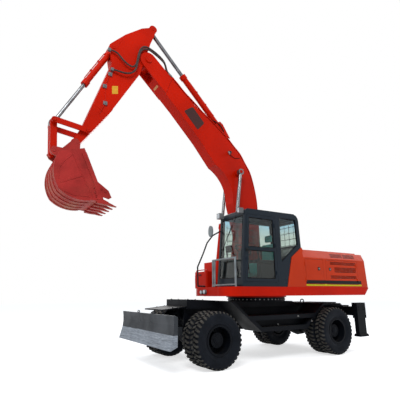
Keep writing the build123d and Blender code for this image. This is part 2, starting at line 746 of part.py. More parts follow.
# height, side corner x and half width of each section
weight_table = [(hood_z0, deck_rear, hood_half), (shoulder_z, deck_rear + weight_lean, hood_half),
                (weight_top, deck_rear + weight_lean + 12, hood_half - shoulder_in * 0.9)]
with BuildPart() as counterweight:
    for low, high in zip(weight_table, weight_table[1:]):
        for z, x, half in (low, high):
            with BuildSketch(Plane.XY.offset(z)):
                with BuildLine():
                    Polyline((x, -half), (bay_rear - seat_gap, -half), (bay_rear - seat_gap, half), (x, half))
                    ThreePointArc((x, half), (x - weight_bulge, 0), (x, -half))
                make_face()
        loft()
counterweight.part.label = "counterweight"
export_step(counterweight.part, "parts/counterweight.step")

# Tanks and toolbox on the right: rear x, front x and top
tank_y0 = 15 - deck_half
tank_y1 = -535
tank_table = [(swing_x - 400, swing_x + 90, 2330), (swing_x + 90 + side_gap, swing_x + 760, 2200)]
with BuildPart() as tanks:
    for x0, x1, z1 in tank_table:
        with BuildSketch(Plane.XY.offset(deck_top + seat_gap)):
            with Locations(((x0 + x1) / 2, (tank_y0 + tank_y1) / 2)):
                RectangleRounded(x1 - x0, tank_y1 - tank_y0, 60)
        extrude(amount=z1 - deck_top)
tanks.part.label = "tanks"
export_step(tanks.part, "parts/tanks.step")

with BuildPart() as toolbox:
    with BuildSketch(Plane.XY.offset(deck_top + seat_gap)):
        with Locations((swing_x + 930, (tank_y0 + tank_y1) / 2)):
            RectangleRounded(300, 600, 50)
    extrude(amount=1940 - deck_top)
toolbox.part.label = "toolbox"
export_step(toolbox.part, "parts/toolbox.step")

# Cab: outline seen from the side, then the windows as faces shared with their panes
cab_t = 55
cab_y = (cab_left + cab_right) / 2
cab_half = (cab_left - cab_right) / 2
cab_floor = 1620
cab_roof = 3205
cab_front_x = 194
cab_brow_x = 60
cab_back_x = -1545
door_front_x = 120
door_head_x = 20
door_rear_x = -800
door_head = 3070
mid_rail_z = 2320
door_frame = 65
glass_t = 6
cab_door_t = 38


def inset(points, d):
    # the same outline with every edge moved inwards by d
    area = sum(a[0] * b[1] - b[0] * a[1] for a, b in zip(points, points[1:] + points[:1]))
    d = math.copysign(d, area)
    moved = []
    for p, q, r in zip(points[-1:] + points[:-1], points, points[1:] + points[:1]):
        ux, uz, a = unit(*p, *q)
        vx, vz, b = unit(*q, *r)
        t = d / (1 + ux * vx + uz * vz)
        moved.append((q[0] - (uz + vz) * t, q[1] + (ux + vx) * t))
    return moved


cab_outline = [
    (cab_front_x, deck_top + seat_gap), (cab_brow_x, 3090), (cab_brow_x - 25, 3160), (cab_brow_x - 80, 3192),
    (cab_brow_x - 250, cab_roof - 12), (cab_back_x + 145, cab_roof), (cab_back_x + 60, 3170), (cab_back_x + 15, 3110),
    (cab_back_x, 3040), (cab_rear_high_x, cab_rear_high_z), (cab_rear_knee_x, cab_rear_knee_z),
    (cab_rear_foot_x, deck_top + seat_gap),
]
door_outline = [
    (door_front_x, cab_floor), (door_head_x, door_head), (door_rear_x, door_head), (door_rear_x, cab_floor),
]
rear_window = [
    (door_rear_x - 130, door_head), (cab_back_x + 100, door_head), (cab_back_x + 70, 2480),
    (cab_rear_knee_x + 65, 2250), (door_rear_x - 130, 2060),
]
right_window = [
    (20, 2150), (-30, door_head), (cab_back_x + 100, door_head), (cab_back_x + 70, 2480),
    (cab_rear_knee_x + 65, 2250), (cab_rear_knee_x + 100, 2150),
]
# middle x, bottom, top and wall slope as x shift from bottom to top
end_windows = [(cab_front_x - 30, 1700, 3040, cab_brow_x - cab_front_x + 25), (cab_back_x - 12, 2480, 3030, 15)]
window_half = cab_half - cab_t - 15
with BuildPart() as cab:
    with BuildSketch(side(cab_y)):
        with BuildLine():
            Polyline(*cab_outline, close=True)
        make_face()
    extrude(amount=cab_half, both=True)
    with BuildSketch(side(cab_y)):
        with BuildLine():
            Polyline(*inset(cab_outline, cab_t), close=True)
        make_face()
    extrude(amount=cab_half - cab_t, both=True, mode=Mode.SUBTRACT)
    with BuildSketch(Plane.XY.offset(deck_top + seat_gap)):
        with Locations(((cab_front_x + cab_rear_foot_x) / 2, cab_y)):
            Rectangle(cab_front_x - cab_rear_foot_x - cab_t, 2 * cab_half - cab_t)
    extrude(amount=cab_floor - deck_top - seat_gap)
    with BuildSketch(side(cab_left - cab_door_t / 2)):
        with BuildLine():
            Polyline(*door_outline, close=True)
        make_face()
    extrude(amount=cab_door_t / 2, both=True, mode=Mode.SUBTRACT)
    with BuildSketch(side(cab_left)):
        with BuildLine():
            Polyline(*inset(door_outline, rebate), close=True)
        make_face()
    extrude(amount=cab_t * 2, both=True, mode=Mode.SUBTRACT)
    with BuildSketch(side(cab_left)):
        with BuildLine():
            Polyline(*rear_window, close=True)
        make_face()
    extrude(amount=cab_t * 2, both=True, mode=Mode.SUBTRACT)
    with BuildSketch(side(cab_right)):
        with BuildLine():
            Polyline(*right_window, close=True)
        make_face()
    extrude(amount=cab_t * 2, both=True, mode=Mode.SUBTRACT)
    for x, z0, z1, shift in end_windows:
        with BuildSketch(Plane(origin=(x, cab_y, (z0 + z1) / 2), x_dir=(0, 1, 0), z_dir=(1, 0, 0))):
            Rectangle(2 * window_half, z1 - z0)
        extrude(amount=160, both=True, mode=Mode.SUBTRACT)
cab.part.label = "cab"
export_step(cab.part, "parts/cab.step")

with BuildPart() as cab_glass:
    with BuildSketch(side(cab_left - cab_t / 2)):
        with BuildLine():
            Polyline(*inset(rear_window, seat_gap), close=True)
        make_face()
    extrude(amount=glass_t / 2, both=True)
    with BuildSketch(side(cab_right + cab_t / 2)):
        with BuildLine():
            Polyline(*inset(right_window, seat_gap), close=True)
        make_face()
    extrude(amount=glass_t / 2, both=True)
    for x, z0, z1, shift in end_windows:
        with BuildSketch(side(cab_y)):
            with BuildLine():
                Polyline((x - glass_t / 2, z0 + seat_gap), (x + glass_t / 2, z0 + seat_gap),
                         (x + shift + glass_t / 2, z1 - seat_gap), (x + shift - glass_t / 2, z1 - seat_gap), close=True)
            make_face()
        extrude(amount=window_half - seat_gap, both=True)
cab_glass.part.label = "cab_glass"
export_step(cab_glass.part, "parts/cab_glass.step")

door_y = cab_left - cab_door_t / 2
with BuildPart() as cab_door:
    with BuildSketch(side(door_y + seat_gap / 2)):
        with BuildLine():
            Polyline(*inset(door_outline, door_gap), close=True)
        make_face()
    extrude(amount=(cab_door_t - seat_gap) / 2, both=True)
    with BuildSketch(side(door_y)):
        with BuildLine():
            Polyline(*inset(door_outline, door_gap + door_frame), close=True)
        make_face()
    extrude(amount=cab_door_t, both=True, mode=Mode.SUBTRACT)
    with BuildSketch(side(door_y)):
        with Locations(((door_head_x + door_rear_x) / 2, mid_rail_z)):
            Rectangle(door_head_x - door_rear_x - door_frame, door_frame)
    extrude(amount=cab_door_t / 2 - seat_gap, both=True)
    for z in (cab_floor + 200, mid_rail_z + 100, door_head - 200):
        with BuildSketch(Plane.XY.offset(z - hinge_l / 2)):
            with BuildLine():
                Polyline(*leaf(door_rear_x - 15, cab_left + 12, 1, 1, door_rear_x + door_gap, cab_left), close=True)
            make_face()
            with Locations((door_rear_x - 15, cab_left + 12)):
                Circle(hinge_r)
        extrude(amount=hinge_l)
cab_door.part.label = "cab_door"
export_step(cab_door.part, "parts/cab_door.step")

with BuildPart() as door_glass:
    with BuildSketch(side(door_y)):
        with BuildLine():
            Polyline(*inset(door_outline, door_gap + door_frame + seat_gap), close=True)
        make_face()
    extrude(amount=glass_t / 2, both=True)
    with BuildSketch(side(door_y)):
        with Locations(((door_head_x + door_rear_x) / 2, mid_rail_z)):
            Rectangle(door_front_x - door_rear_x, door_frame + 2 * seat_gap)
    extrude(amount=glass_t, both=True, mode=Mode.SUBTRACT)
door_glass.part.label = "door_glass"
export_step(door_glass.part, "parts/door_glass.step")

# Seat and steering column
with BuildPart() as seat:
    with BuildSketch(side(cab_y)):
        with BuildLine():
            Polyline((-420, cab_floor + seat_gap), (-420, 2120), (-480, 2180), (-900, 2160), (-980, 2750),
                     (-1070, 2740), (-1030, 2080), (-900, cab_floor + seat_gap), close=True)
        make_face()
    extrude(amount=240, both=True)
seat.part.label = "seat"
export_step(seat.part, "parts/seat.step")

with BuildPart() as steering_column:
    with BuildSketch(side(cab_y)):
        with BuildLine():
            Polyline((-60, cab_floor + seat_gap), (-150, 2330), (-200, 2320), (-200, cab_floor + seat_gap), close=True)
        make_face()
    extrude(amount=60, both=True)
steering_column.part.label = "steering_column"
export_step(steering_column.part, "parts/steering_column.step")

# Guard of tubes in front of the windscreen, standing on the platform
tube_r = 15
guard_x = 300
guard_y0 = cab_right - 5
guard_y1 = 1165
guard_top = 2118
guard_low = deck_top + 45
with BuildPart() as front_guard:
    for z in (guard_low, guard_top):
        with BuildSketch(Plane(origin=(guard_x, (guard_y0 + guard_y1) / 2, z), x_dir=(1, 0, 0), z_dir=(0, 1, 0))):
            Rectangle(2 * tube_r, 2 * tube_r)
        extrude(amount=(guard_y1 - guard_y0) / 2, both=True)
    for y in (guard_y0, guard_y0 + 70, guard_y1):
        with BuildSketch(Plane.XY.offset(deck_top + seat_gap)):
            with Locations((guard_x, y)):
                Rectangle(2 * tube_r, 2 * tube_r)
        extrude(amount=guard_top + tube_r - deck_top - seat_gap)
front_guard.part.label = "front_guard"
export_step(front_guard.part, "parts/front_guard.step")

# Handrail from the platform's corner to the cab's front, and the mirror on it
rail_r = 16
rail_foot_x = platform_x - 30
rail_y = cab_right + 2
rail_points = [
    (rail_foot_x, rail_y, deck_top + seat_gap), (rail_foot_x, rail_y, deck_top + 22), (702, rail_y, deck_top + 24),
    (710, rail_y, 1959), (565, rail_y, 2253), (455, rail_y, 2508), (300, rail_y, 2690), (101.5, rail_y + 16, 2800),
]
with BuildPart() as handrail:
    for a, b in zip(rail_points, rail_points[1:]):
        reach = Vector(*b) - Vector(*a)
        with BuildSketch(Plane(origin=a, z_dir=reach.normalized())):
            Circle(rail_r)
        extrude(amount=reach.length)
        with Locations(b):
            Sphere(rail_r)
handrail.part.label = "handrail"
export_step(handrail.part, "parts/handrail.step")

mirror_h = 255
mirror_w = 150
mirror_t = 40
stem_r = 9
mirror_spot = (396, rail_y + 70, 2769)
with BuildPart() as mirror:
    with BuildSketch(Plane(origin=mirror_spot, x_dir=(0, 1, 0), z_dir=(1, 0, 0))):
        Ellipse(mirror_w / 2, mirror_h / 2)
    extrude(amount=mirror_t / 2, both=True)
    stem_foot = Vector(mirror_spot[0] - 5, mirror_spot[1], mirror_spot[2] - mirror_h / 2 + 20)
    rail_spot = Vector(*rail_points[-3])
    rail_run = (Vector(*rail_points[-2]) - rail_spot).normalized()
    reach = rail_spot + rail_run * (stem_foot - rail_spot).dot(rail_run) - stem_foot
    with BuildSketch(Plane(origin=stem_foot, z_dir=reach.normalized())):
        Circle(stem_r)
    extrude(amount=reach.length - rail_r - seat_gap)
mirror.part.label = "mirror"
export_step(mirror.part, "parts/mirror.step")

# Lamps: place, radius and facing of each
lamp_t = 45
lamp_table = [
    ((platform_x + lamp_t + seat_gap, 420, 1425), 48, (1, 0, 0)),
    ((right_front_x + lamp_t + seat_gap, right_inner - 90, 1425), 48, (1, 0, 0)),
]
# lamps on the cab's brow: middle, half width, bottom and top
brow_lamp_l = 125
brow_lamp_table = [(cab_right + 75, 60, 3080, 3212), (cab_left - 70, 30, 3080, 3196)]
with BuildPart() as lamps:
    for spot, r, facing in lamp_table:
        with BuildSketch(Plane(origin=spot, z_dir=facing)):
            Circle(r)
        extrude(amount=-lamp_t)
    for y, half, z0, z1 in brow_lamp_table:
        with BuildSketch(side(y)):
            with Locations((cab_brow_x + 1 + seat_gap + brow_lamp_l / 2, (z0 + z1) / 2)):
                Rectangle(brow_lamp_l, z1 - z0)
        extrude(amount=half, both=True)
lamps.part.label = "lamps"
export_step(lamps.part, "parts/lamps.step")

# Boom: plates, foot bore, ram bosses, the bracket of the arm ram and the fork that holds the stick
stick_pin_radius = 55
fork_plate = 40
fork_y = stick_half + side_gap + fork_plate / 2
nose_radius = 210
nose_clear = 280
# boom outline from the foot pin, back edge up, nose, then belly down: two spots make a line, three an arc
boom_outline = [
    ((-185, 40), (-130, 1876)), ((-130, 1876), (80, 2600), (528, 3213)), ((528, 3213), (1001, 3606), (1609, 4018)),
    ((1609, 4018), (2249, 4535)), ((2249, 4535), (2837, 5065)), ((2837, 5065), (2915, 4532)), ((2915, 4532), (2298, 3935)),
    ((2298, 3935), (1615, 3214)), ((1615, 3214), (1147, 2637)), ((1147, 2637), (730, 2230), (618, 1705)),
    ((618, 1705), (190, -20)), ((190, -20), (-185, 40)),
]
arm_lug = 30
with BuildPart() as boom:
    with BuildSketch(side(boom_y)):
        with BuildLine():
            for spots in boom_outline:
                moved = [(foot_x + x, foot_z + z) for x, z in spots]
                Line(*moved) if len(spots) == 2 else ThreePointArc(*moved)
        make_face()
    with BuildSketch(side(boom_y)):
        with Locations((foot_x, foot_z)):
            Circle(188)
    extrude(amount=boom_half, both=True)
    with BuildSketch(side(boom_y)):
        with Locations((foot_x, foot_z)):
            Circle(foot_pin_radius + pin_gap)
    extrude(amount=boom_half * 2, both=True, mode=Mode.SUBTRACT)
    for s in (-1, 1):
        with BuildSketch(side(boom_y + s * fork_y)):
            with BuildLine():
                Polyline((stick_pin_x - 140, stick_pin_z + 157), (stick_pin_x - 640, stick_pin_z - 290),
                         (stick_pin_x - 480, stick_pin_z - 750), (stick_pin_x + 150, stick_pin_z - 147), close=True)
            make_face()
            with Locations((stick_pin_x, stick_pin_z)):
                Circle(nose_radius)
        extrude(amount=fork_plate / 2, both=True)
    with BuildSketch(side(boom_y)):
        with Locations((stick_pin_x, stick_pin_z)):
            Circle(nose_clear)
    extrude(amount=stick_half + side_gap, both=True, mode=Mode.SUBTRACT)
    with BuildSketch(side(boom_y)):
        with Locations((stick_pin_x, stick_pin_z)):
            Circle(stick_pin_radius)
    extrude(amount=fork_y + fork_plate / 2 + 15, both=True)
    with BuildSketch(side(boom_y)):
        with Locations((boom_eye_x, boom_eye_z)):
            Circle(80)
    extrude(amount=boom_ram_y - rod_eye_half - side_gap, both=True)
    for s in (-1, 1):
        with BuildSketch(side(boom_y + s * (arm_barrel_radius + side_gap + arm_lug / 2))):
            with BuildLine():
                Polyline((arm_base_x - 320, arm_base_z - 330), (arm_base_x - 90, arm_base_z + 30),
                         (arm_base_x, arm_base_z + 90), (arm_base_x + 90, arm_base_z + 20),
                         (arm_base_x + 220, arm_base_z - 130), close=True)
            make_face()
        extrude(amount=arm_lug / 2, both=True)
    with BuildSketch(side(boom_y)):
        with Locations((arm_base_x, arm_base_z)):
            Circle(arm_base_pin)
    extrude(amount=arm_barrel_radius + side_gap + arm_lug, both=True)
boom.part.label = "boom"
export_step(boom.part, "parts/boom.step")

# Stick: its box, the slots for the two rams and the pin bosses
idler_pin_radius = 40
bucket_pin_radius = 45
arm_slot_radius = 125
arm_slot_end = 109
arm_slot_drop = 114
arm_slot_dx = 20
stick_outline = [
    (stick_pin_x - 80, stick_pin_z + 1000), (stick_pin_x - 180, stick_pin_z + 912),
    (stick_pin_x - 129, stick_pin_z + 724), (stick_pin_x - 53, stick_pin_z + 514),
    (stick_pin_x + 195, stick_pin_z - 433), (stick_pin_x + 788, stick_pin_z - 1508),
    (stick_pin_x + 808, stick_pin_z - 1562), (bucket_pin_x - 80, bucket_pin_z - 20),
    (bucket_pin_x + 80, bucket_pin_z + 20), (stick_pin_x + 1419, stick_pin_z - 2088),
    (stick_pin_x + 875, stick_pin_z - 370), (bucket_base_x + 90, bucket_base_z - 40),
    (bucket_base_x + 60, bucket_base_z + 90), (stick_pin_x + 597, stick_pin_z + 511),
    (stick_pin_x + 191, stick_pin_z + 859),
]
ram_dx, ram_dz, ram_rest = unit(bucket_base_x, bucket_base_z, rod_pin_x, rod_pin_z)
with BuildPart() as stick:
    with BuildSketch(side(boom_y)):
        with BuildLine():
            Polyline(*stick_outline, close=True)
        make_face()
    with BuildSketch(side(boom_y)):
        with Locations((stick_pin_x, stick_pin_z)):
            Circle(170)
        with Locations((arm_eye_x, arm_eye_z)):
            Circle(100)
        with Locations((bucket_pin_x, bucket_pin_z)):
            Circle(95)
        with Locations((bucket_base_x, bucket_base_z)):
            Circle(105)
    extrude(amount=stick_half, both=True)
    for x, z, r in ((stick_pin_x, stick_pin_z, stick_pin_radius), (idler_pin_x, idler_pin_z, idler_pin_radius),
                    (bucket_pin_x, bucket_pin_z, bucket_pin_radius)):
        with BuildSketch(side(boom_y)):
            with Locations((x, z)):
                Circle(r + pin_gap)
        extrude(amount=2 * stick_half, both=True, mode=Mode.SUBTRACT)
    with BuildSketch(side(boom_y)):
        with Locations((arm_eye_x, arm_eye_z)):
            Circle(arm_slot_radius)
        with Locations((arm_eye_x + arm_slot_dx, arm_eye_z - arm_slot_drop)):
            Circle(arm_slot_end)
        with Locations((arm_eye_x + arm_slot_dx / 2, arm_eye_z - arm_slot_drop / 2)):
            Rectangle(2 * arm_slot_end, arm_slot_drop)
        with Locations((arm_eye_x - 200, arm_eye_z + 30)):
            Rectangle(400, 340)
    extrude(amount=rod_eye_half + side_gap, both=True, mode=Mode.SUBTRACT)
    with BuildSketch(Plane(origin=(bucket_base_x, boom_y, bucket_base_z), x_dir=(ram_dx, 0, ram_dz), z_dir=(0, -1, 0))):
        Circle(110)
        with Locations((260, 0)):
            Rectangle(520, 200)
    extrude(amount=bucket_barrel_radius + side_gap, both=True, mode=Mode.SUBTRACT)
    with BuildSketch(side(boom_y)):
        with Locations((bucket_base_x, bucket_base_z)):
            Circle(bucket_base_pin)
    extrude(amount=stick_half, both=True)
stick.part.label = "stick"
export_step(stick.part, "parts/stick.step")

# Bucket linkage: side links on a pin through the stick, and the link to the bucket
link_plate = 35
ear_plate = 40
ear_y = stick_half + side_gap + ear_plate / 2
link_y = ear_y + ear_plate / 2 + side_gap + link_plate / 2
collar = 18
link_pin_radius = 40
fork_inner = rod_eye_half + 10
link_half = stick_half - side_gap
idler_dx, idler_dz, idler_length = unit(idler_pin_x, idler_pin_z, rod_pin_x, rod_pin_z)
with BuildPart() as side_links:
    for y in (-1, 1):
        with BuildSketch(Plane(origin=(idler_pin_x, boom_y + y * link_y, idler_pin_z), x_dir=(idler_dx, 0, idler_dz),
                               z_dir=(0, -1, 0))):
            with Locations((idler_length / 2, 0)):
                SlotCenterToCenter(idler_length, 115)
            with Locations((idler_length, 0)):
                Circle(link_pin_radius + pin_gap, mode=Mode.SUBTRACT)
        extrude(amount=link_plate / 2, both=True)
        with BuildSketch(side(boom_y + y * (stick_half + pin_gap + link_y) / 2)):
            with Locations((idler_pin_x, idler_pin_z)):
                Circle(idler_pin_radius + collar)
        extrude(amount=(link_y - stick_half - pin_gap) / 2, both=True)
    with BuildSketch(side(boom_y)):
        with Locations((idler_pin_x, idler_pin_z)):
            Circle(idler_pin_radius)
    extrude(amount=link_y + link_plate / 2 + 12, both=True)
side_links.part.label = "side_links"
export_step(side_links.part, "parts/side_links.step")

link_dx, link_dz, link_length = unit(rod_pin_x, rod_pin_z, link_pin_x, link_pin_z)
with BuildPart() as bucket_link:
    for y in (-1, 1):
        fork_place = Plane(origin=(rod_pin_x, boom_y + y * (fork_inner + link_half) / 2, rod_pin_z),
                           x_dir=(link_dx, 0, link_dz), z_dir=(0, -1, 0))
        with BuildSketch(fork_place):
            with Locations((link_length / 2, 0)):
                SlotCenterToCenter(link_length, 130)
        extrude(amount=(link_half - fork_inner) / 2, both=True)
        with BuildSketch(side(boom_y + y * (fork_inner + link_y + link_plate / 2 + 12) / 2)):
            with Locations((rod_pin_x, rod_pin_z)):
                Circle(link_pin_radius)
        extrude(amount=(link_y + link_plate / 2 + 12 - fork_inner) / 2, both=True)
        with BuildSketch(side(boom_y + y * (fork_inner + link_y - link_plate / 2 - pin_gap) / 2)):
            with Locations((rod_pin_x, rod_pin_z)):
                Circle(link_pin_radius + collar)
        extrude(amount=(link_y - link_plate / 2 - pin_gap - fork_inner) / 2, both=True)
    with BuildSketch(Plane(origin=(rod_pin_x, boom_y, rod_pin_z), x_dir=(link_dx, 0, link_dz), z_dir=(0, -1, 0))):
        with Locations((link_length * 0.66, 0)):
            Rectangle(link_length * 0.4, 100)
    extrude(amount=fork_inner + 10, both=True)
bucket_link.part.label = "bucket_link"
export_step(bucket_link.part, "parts/bucket_link.step")

# Bucket: curved shell, side plates, ears and teeth, placed from its pin; two spots make a line, three an arc
bucket_half = 510
shell_t = 30
side_t = 30
tooth_count = 5
tooth_pitch = 235
strip_count = 5
strip_w = 70
strip_t = 14
cutter_t = 16
# half width and side outline of the adapter, the tooth and its tip
tooth_table = [
    (52, [(-430, -1300), (-430, -1215), (-560, -1225), (-650, -1262), (-650, -1318), (-560, -1315)]),
    (40, [(-640, -1316), (-640, -1262), (-760, -1308), (-760, -1334)]),
    (30, [(-750, -1334), (-750, -1306), (-823, -1328), (-823, -1338)]),
]


def from_pin(spots):
    return [(bucket_pin_x + x, bucket_pin_z + z) for x, z in spots]


def outward(spots, d):
    # the same arc with its radius grown by d
    (ax, az), (bx, bz), (cx, cz) = spots
    k = 2 * (ax * (bz - cz) + bx * (cz - az) + cx * (az - bz))
    aa, bb, cc = ax * ax + az * az, bx * bx + bz * bz, cx * cx + cz * cz
    mx = (aa * (bz - cz) + bb * (cz - az) + cc * (az - bz)) / k
    mz = (aa * (cx - bx) + bb * (ax - cx) + cc * (bx - ax)) / k
    r = math.hypot(ax - mx, az - mz)
    return [(mx + (x - mx) * (r + d) / r, mz + (z - mz) * (r + d) / r) for x, z in spots]


shell_outer = [
    ((-110, -225), (330, -370)), ((330, -370), (405, -800), (285, -1105)), ((285, -1105), (100, -1220), (-300, -1255)),
    ((-300, -1255), (-560, -1275)), ((-560, -1275), (-560, -1245)), ((-560, -1245), (-420, -890)),
    ((-420, -890), (-110, -225)),
]
shell_inner = [
    ((-90, -265), (300, -395)), ((300, -395), (370, -800), (260, -1078)), ((260, -1078), (95, -1182), (-300, -1222)),
    ((-300, -1222), (-700, -1252)), ((-700, -1252), (-540, -850)), ((-540, -850), (-160, -200)),
    ((-160, -200), (-90, -265)),
]
with BuildPart() as bucket:
    with BuildSketch(side(boom_y)):
        with BuildLine():
            for spots in shell_outer:
                Line(*from_pin(spots)) if len(spots) == 2 else ThreePointArc(*from_pin(spots))
        make_face()
    extrude(amount=bucket_half, both=True)
    with BuildSketch(side(boom_y)):
        with BuildLine():
            for spots in shell_inner:
                Line(*from_pin(spots)) if len(spots) == 2 else ThreePointArc(*from_pin(spots))
        make_face()
    extrude(amount=bucket_half - side_t, both=True, mode=Mode.SUBTRACT)
    for y in (-1, 1):
        with BuildSketch(side(boom_y + y * ear_y)):
            with BuildLine():
                Polyline((bucket_pin_x - 95, bucket_pin_z - 240), (bucket_pin_x - 85, bucket_pin_z + 20),
                         (bucket_pin_x, bucket_pin_z + 85), (bucket_pin_x + 80, bucket_pin_z + 20),
                         (bucket_pin_x + 250, bucket_pin_z - 180), (link_pin_x + 30, link_pin_z + 80),
                         (link_pin_x + 80, link_pin_z), (link_pin_x + 30, link_pin_z - 80),
                         (bucket_pin_x + 330, bucket_pin_z - 390), (bucket_pin_x + 300, bucket_pin_z - 360), close=True)
            make_face()
        extrude(amount=ear_plate / 2, both=True)
    with BuildSketch(side(boom_y)):
        with Locations((bucket_pin_x, bucket_pin_z)):
            Circle(bucket_pin_radius)
    extrude(amount=ear_y + ear_plate / 2, both=True)
    for i in range(strip_count):
        with BuildSketch(side(boom_y + (i / (strip_count - 1) - 0.5) * (2 * bucket_half - strip_w))):
            for spots in shell_outer[1:3]:
                near = from_pin(spots)
                far = outward(near, strip_t)
                with BuildLine():
                    ThreePointArc(*near)
                    Line(near[2], far[2])
                    ThreePointArc(*far[::-1])
                    Line(far[0], near[0])
                make_face()
        extrude(amount=strip_w / 2, both=True)
    for y in (-1, 1):
        with BuildSketch(side(boom_y + y * (bucket_half + cutter_t / 2))):
            with BuildLine():
                Polyline(*from_pin([(-150, -310), (-410, -880), (-634, -1032), (-703, -1167), (-645, -1205),
                                    (-543, -1178), (-500, -1235), (-420, -1230), (-330, -900), (-60, -330)]), close=True)
            make_face()
        extrude(amount=cutter_t / 2, both=True)
    for i in range(tooth_count):
        y = boom_y + (i - (tooth_count - 1) / 2) * tooth_pitch
        for half, spots in tooth_table:
            with BuildSketch(side(y)):
                with BuildLine():
                    Polyline(*from_pin(spots), close=True)
                make_face()
            extrude(amount=half, both=True)
bucket.part.label = "bucket"
export_step(bucket.part, "parts/bucket.step")

# Lifting eyes on the blade's top edge
eye_bore = 14
eye_y = 380
eye_half = 12
eye_z = blade_top_z + 24
eye_x = blade_face_x - 22
with BuildPart() as blade_eyes:
    for y in (-eye_y, eye_y):
        with BuildSketch(side(y)):
            with BuildLine():
                Polyline((eye_x - 20, blade_top_z + seat_gap), (eye_x + 20, blade_top_z + seat_gap),
                         (eye_x + 26, eye_z), (eye_x + 12, eye_z + 26), (eye_x - 12, eye_z + 26), (eye_x - 26, eye_z),
                         close=True)
            make_face()
            with Locations((eye_x, eye_z)):
                Circle(eye_bore, mode=Mode.SUBTRACT)
        extrude(amount=eye_half, both=True)
blade_eyes.part.label = "blade_eyes"
export_step(blade_eyes.part, "parts/blade_eyes.step")
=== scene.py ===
import bpy
import bmesh
import math
from mathutils import Vector, Matrix
from mathutils.bvhtree import BVHTree
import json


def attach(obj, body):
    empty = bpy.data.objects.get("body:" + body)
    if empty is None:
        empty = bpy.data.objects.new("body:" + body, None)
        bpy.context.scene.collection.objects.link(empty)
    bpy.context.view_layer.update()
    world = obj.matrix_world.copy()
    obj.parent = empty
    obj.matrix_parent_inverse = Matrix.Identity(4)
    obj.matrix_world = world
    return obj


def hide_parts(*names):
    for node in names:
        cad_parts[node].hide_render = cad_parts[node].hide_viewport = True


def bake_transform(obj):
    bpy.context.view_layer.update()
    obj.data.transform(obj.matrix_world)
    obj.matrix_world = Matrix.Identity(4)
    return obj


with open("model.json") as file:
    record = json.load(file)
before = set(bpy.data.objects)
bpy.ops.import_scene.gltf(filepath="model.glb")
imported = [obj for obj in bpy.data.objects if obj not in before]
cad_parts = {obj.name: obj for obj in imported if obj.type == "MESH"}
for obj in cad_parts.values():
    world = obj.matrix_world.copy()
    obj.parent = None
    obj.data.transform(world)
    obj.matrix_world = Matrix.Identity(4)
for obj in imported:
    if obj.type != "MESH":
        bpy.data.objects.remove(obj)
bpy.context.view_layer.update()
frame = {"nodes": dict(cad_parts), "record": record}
nodes = frame["nodes"]
print("frame loaded:", len(nodes), "nodes")

# camera: where it stands, where it looks (degrees), lens and film (millimetres)
photoCamera = {
    "place": (4.885, 7.276, 1.375), "yaw": -121.46, "pitch": 14.61, "roll": -0.36,
    "lens": 32.58, "film": 36, "reach": 200,
}


def link(thing):
    bpy.context.scene.collection.objects.link(thing)
    return thing


def makeCamera(view):
    data = bpy.data.cameras.new("photoCamera")
    data.lens = view["lens"]
    data.sensor_width = view["film"]
    data.clip_end = view["reach"]
    camera = link(bpy.data.objects.new("photoCamera", data))
    yaw, pitch, roll = (math.radians(view[key]) for key in ("yaw", "pitch", "roll"))
    ahead = Vector((math.cos(pitch) * math.cos(yaw), math.cos(pitch) * math.sin(yaw), math.sin(pitch)))
    camera.rotation_mode = "QUATERNION"
    camera.rotation_quaternion = (
        ahead.to_track_quat("-Z", "Y") @ Matrix.Rotation(roll, 3, "Z").to_quaternion())
    camera.location = view["place"]
    bpy.context.scene.camera = camera


makeCamera(photoCamera)


# shared ways to join shader nodes
def feed(tree, socket, value):
    # a number or a colour is set on the socket, and what another node gives is linked to it
    if isinstance(value, (int, float)):
        socket.default_value = value
    elif isinstance(value, tuple):
        socket.default_value = (*value, 1)
    else:
        tree.links.new(value, socket)


def mathNode(tree, kind, *values):
    node = tree.nodes.new("ShaderNodeMath")
    node.operation = kind
    for socket, value in zip(node.inputs, values):
        feed(tree, socket, value)
    return node.outputs[0]


def times(tree, first, second):
    return mathNode(tree, "MULTIPLY", first, second)


def band(tree, value, low, high):
    return times(tree, mathNode(tree, "GREATER_THAN", value, low), mathNode(tree, "LESS_THAN", value, high))


def spread(tree, value, fromLow, fromHigh, toLow, toHigh):
    node = tree.nodes.new("ShaderNodeMapRange")
    for socket, number in zip(node.inputs, (value, fromLow, fromHigh, toLow, toHigh)):
        feed(tree, socket, number)
    return node.outputs["Result"]


def mixColour(tree, share, first, second):
    # sockets 6 and 7 of the node are its two colours, and output 2 is their mix
    node = tree.nodes.new("ShaderNodeMix")
    node.data_type = "RGBA"
    for index, value in ((0, share), (6, first), (7, second)):
        feed(tree, node.inputs[index], value)
    return node.outputs[2]


def noise(tree, place, scale, detail, stretch=None):
    if stretch:
        squeeze = tree.nodes.new("ShaderNodeVectorMath")
        squeeze.operation = "MULTIPLY"
        squeeze.inputs[1].default_value = stretch
        tree.links.new(place, squeeze.inputs[0])
        place = squeeze.outputs[0]
    node = tree.nodes.new("ShaderNodeTexNoise")
    node.inputs["Scale"].default_value = scale
    node.inputs["Detail"].default_value = detail
    tree.links.new(place, node.inputs["Vector"])
    return node.outputs["Fac"]


def split(tree, vector):
    node = tree.nodes.new("ShaderNodeSeparateXYZ")
    tree.links.new(vector, node.inputs[0])
    return node.outputs


def addRelief(tree, sockets, height, strength, deep, normal=None):
    relief = tree.nodes.new("ShaderNodeBump")
    relief.inputs["Strength"].default_value = strength
    relief.inputs["Distance"].default_value = deep
    tree.links.new(height, relief.inputs["Height"])
    if normal is not None:
        tree.links.new(normal, relief.inputs["Normal"])
    tree.links.new(relief.outputs["Normal"], sockets["Normal"])


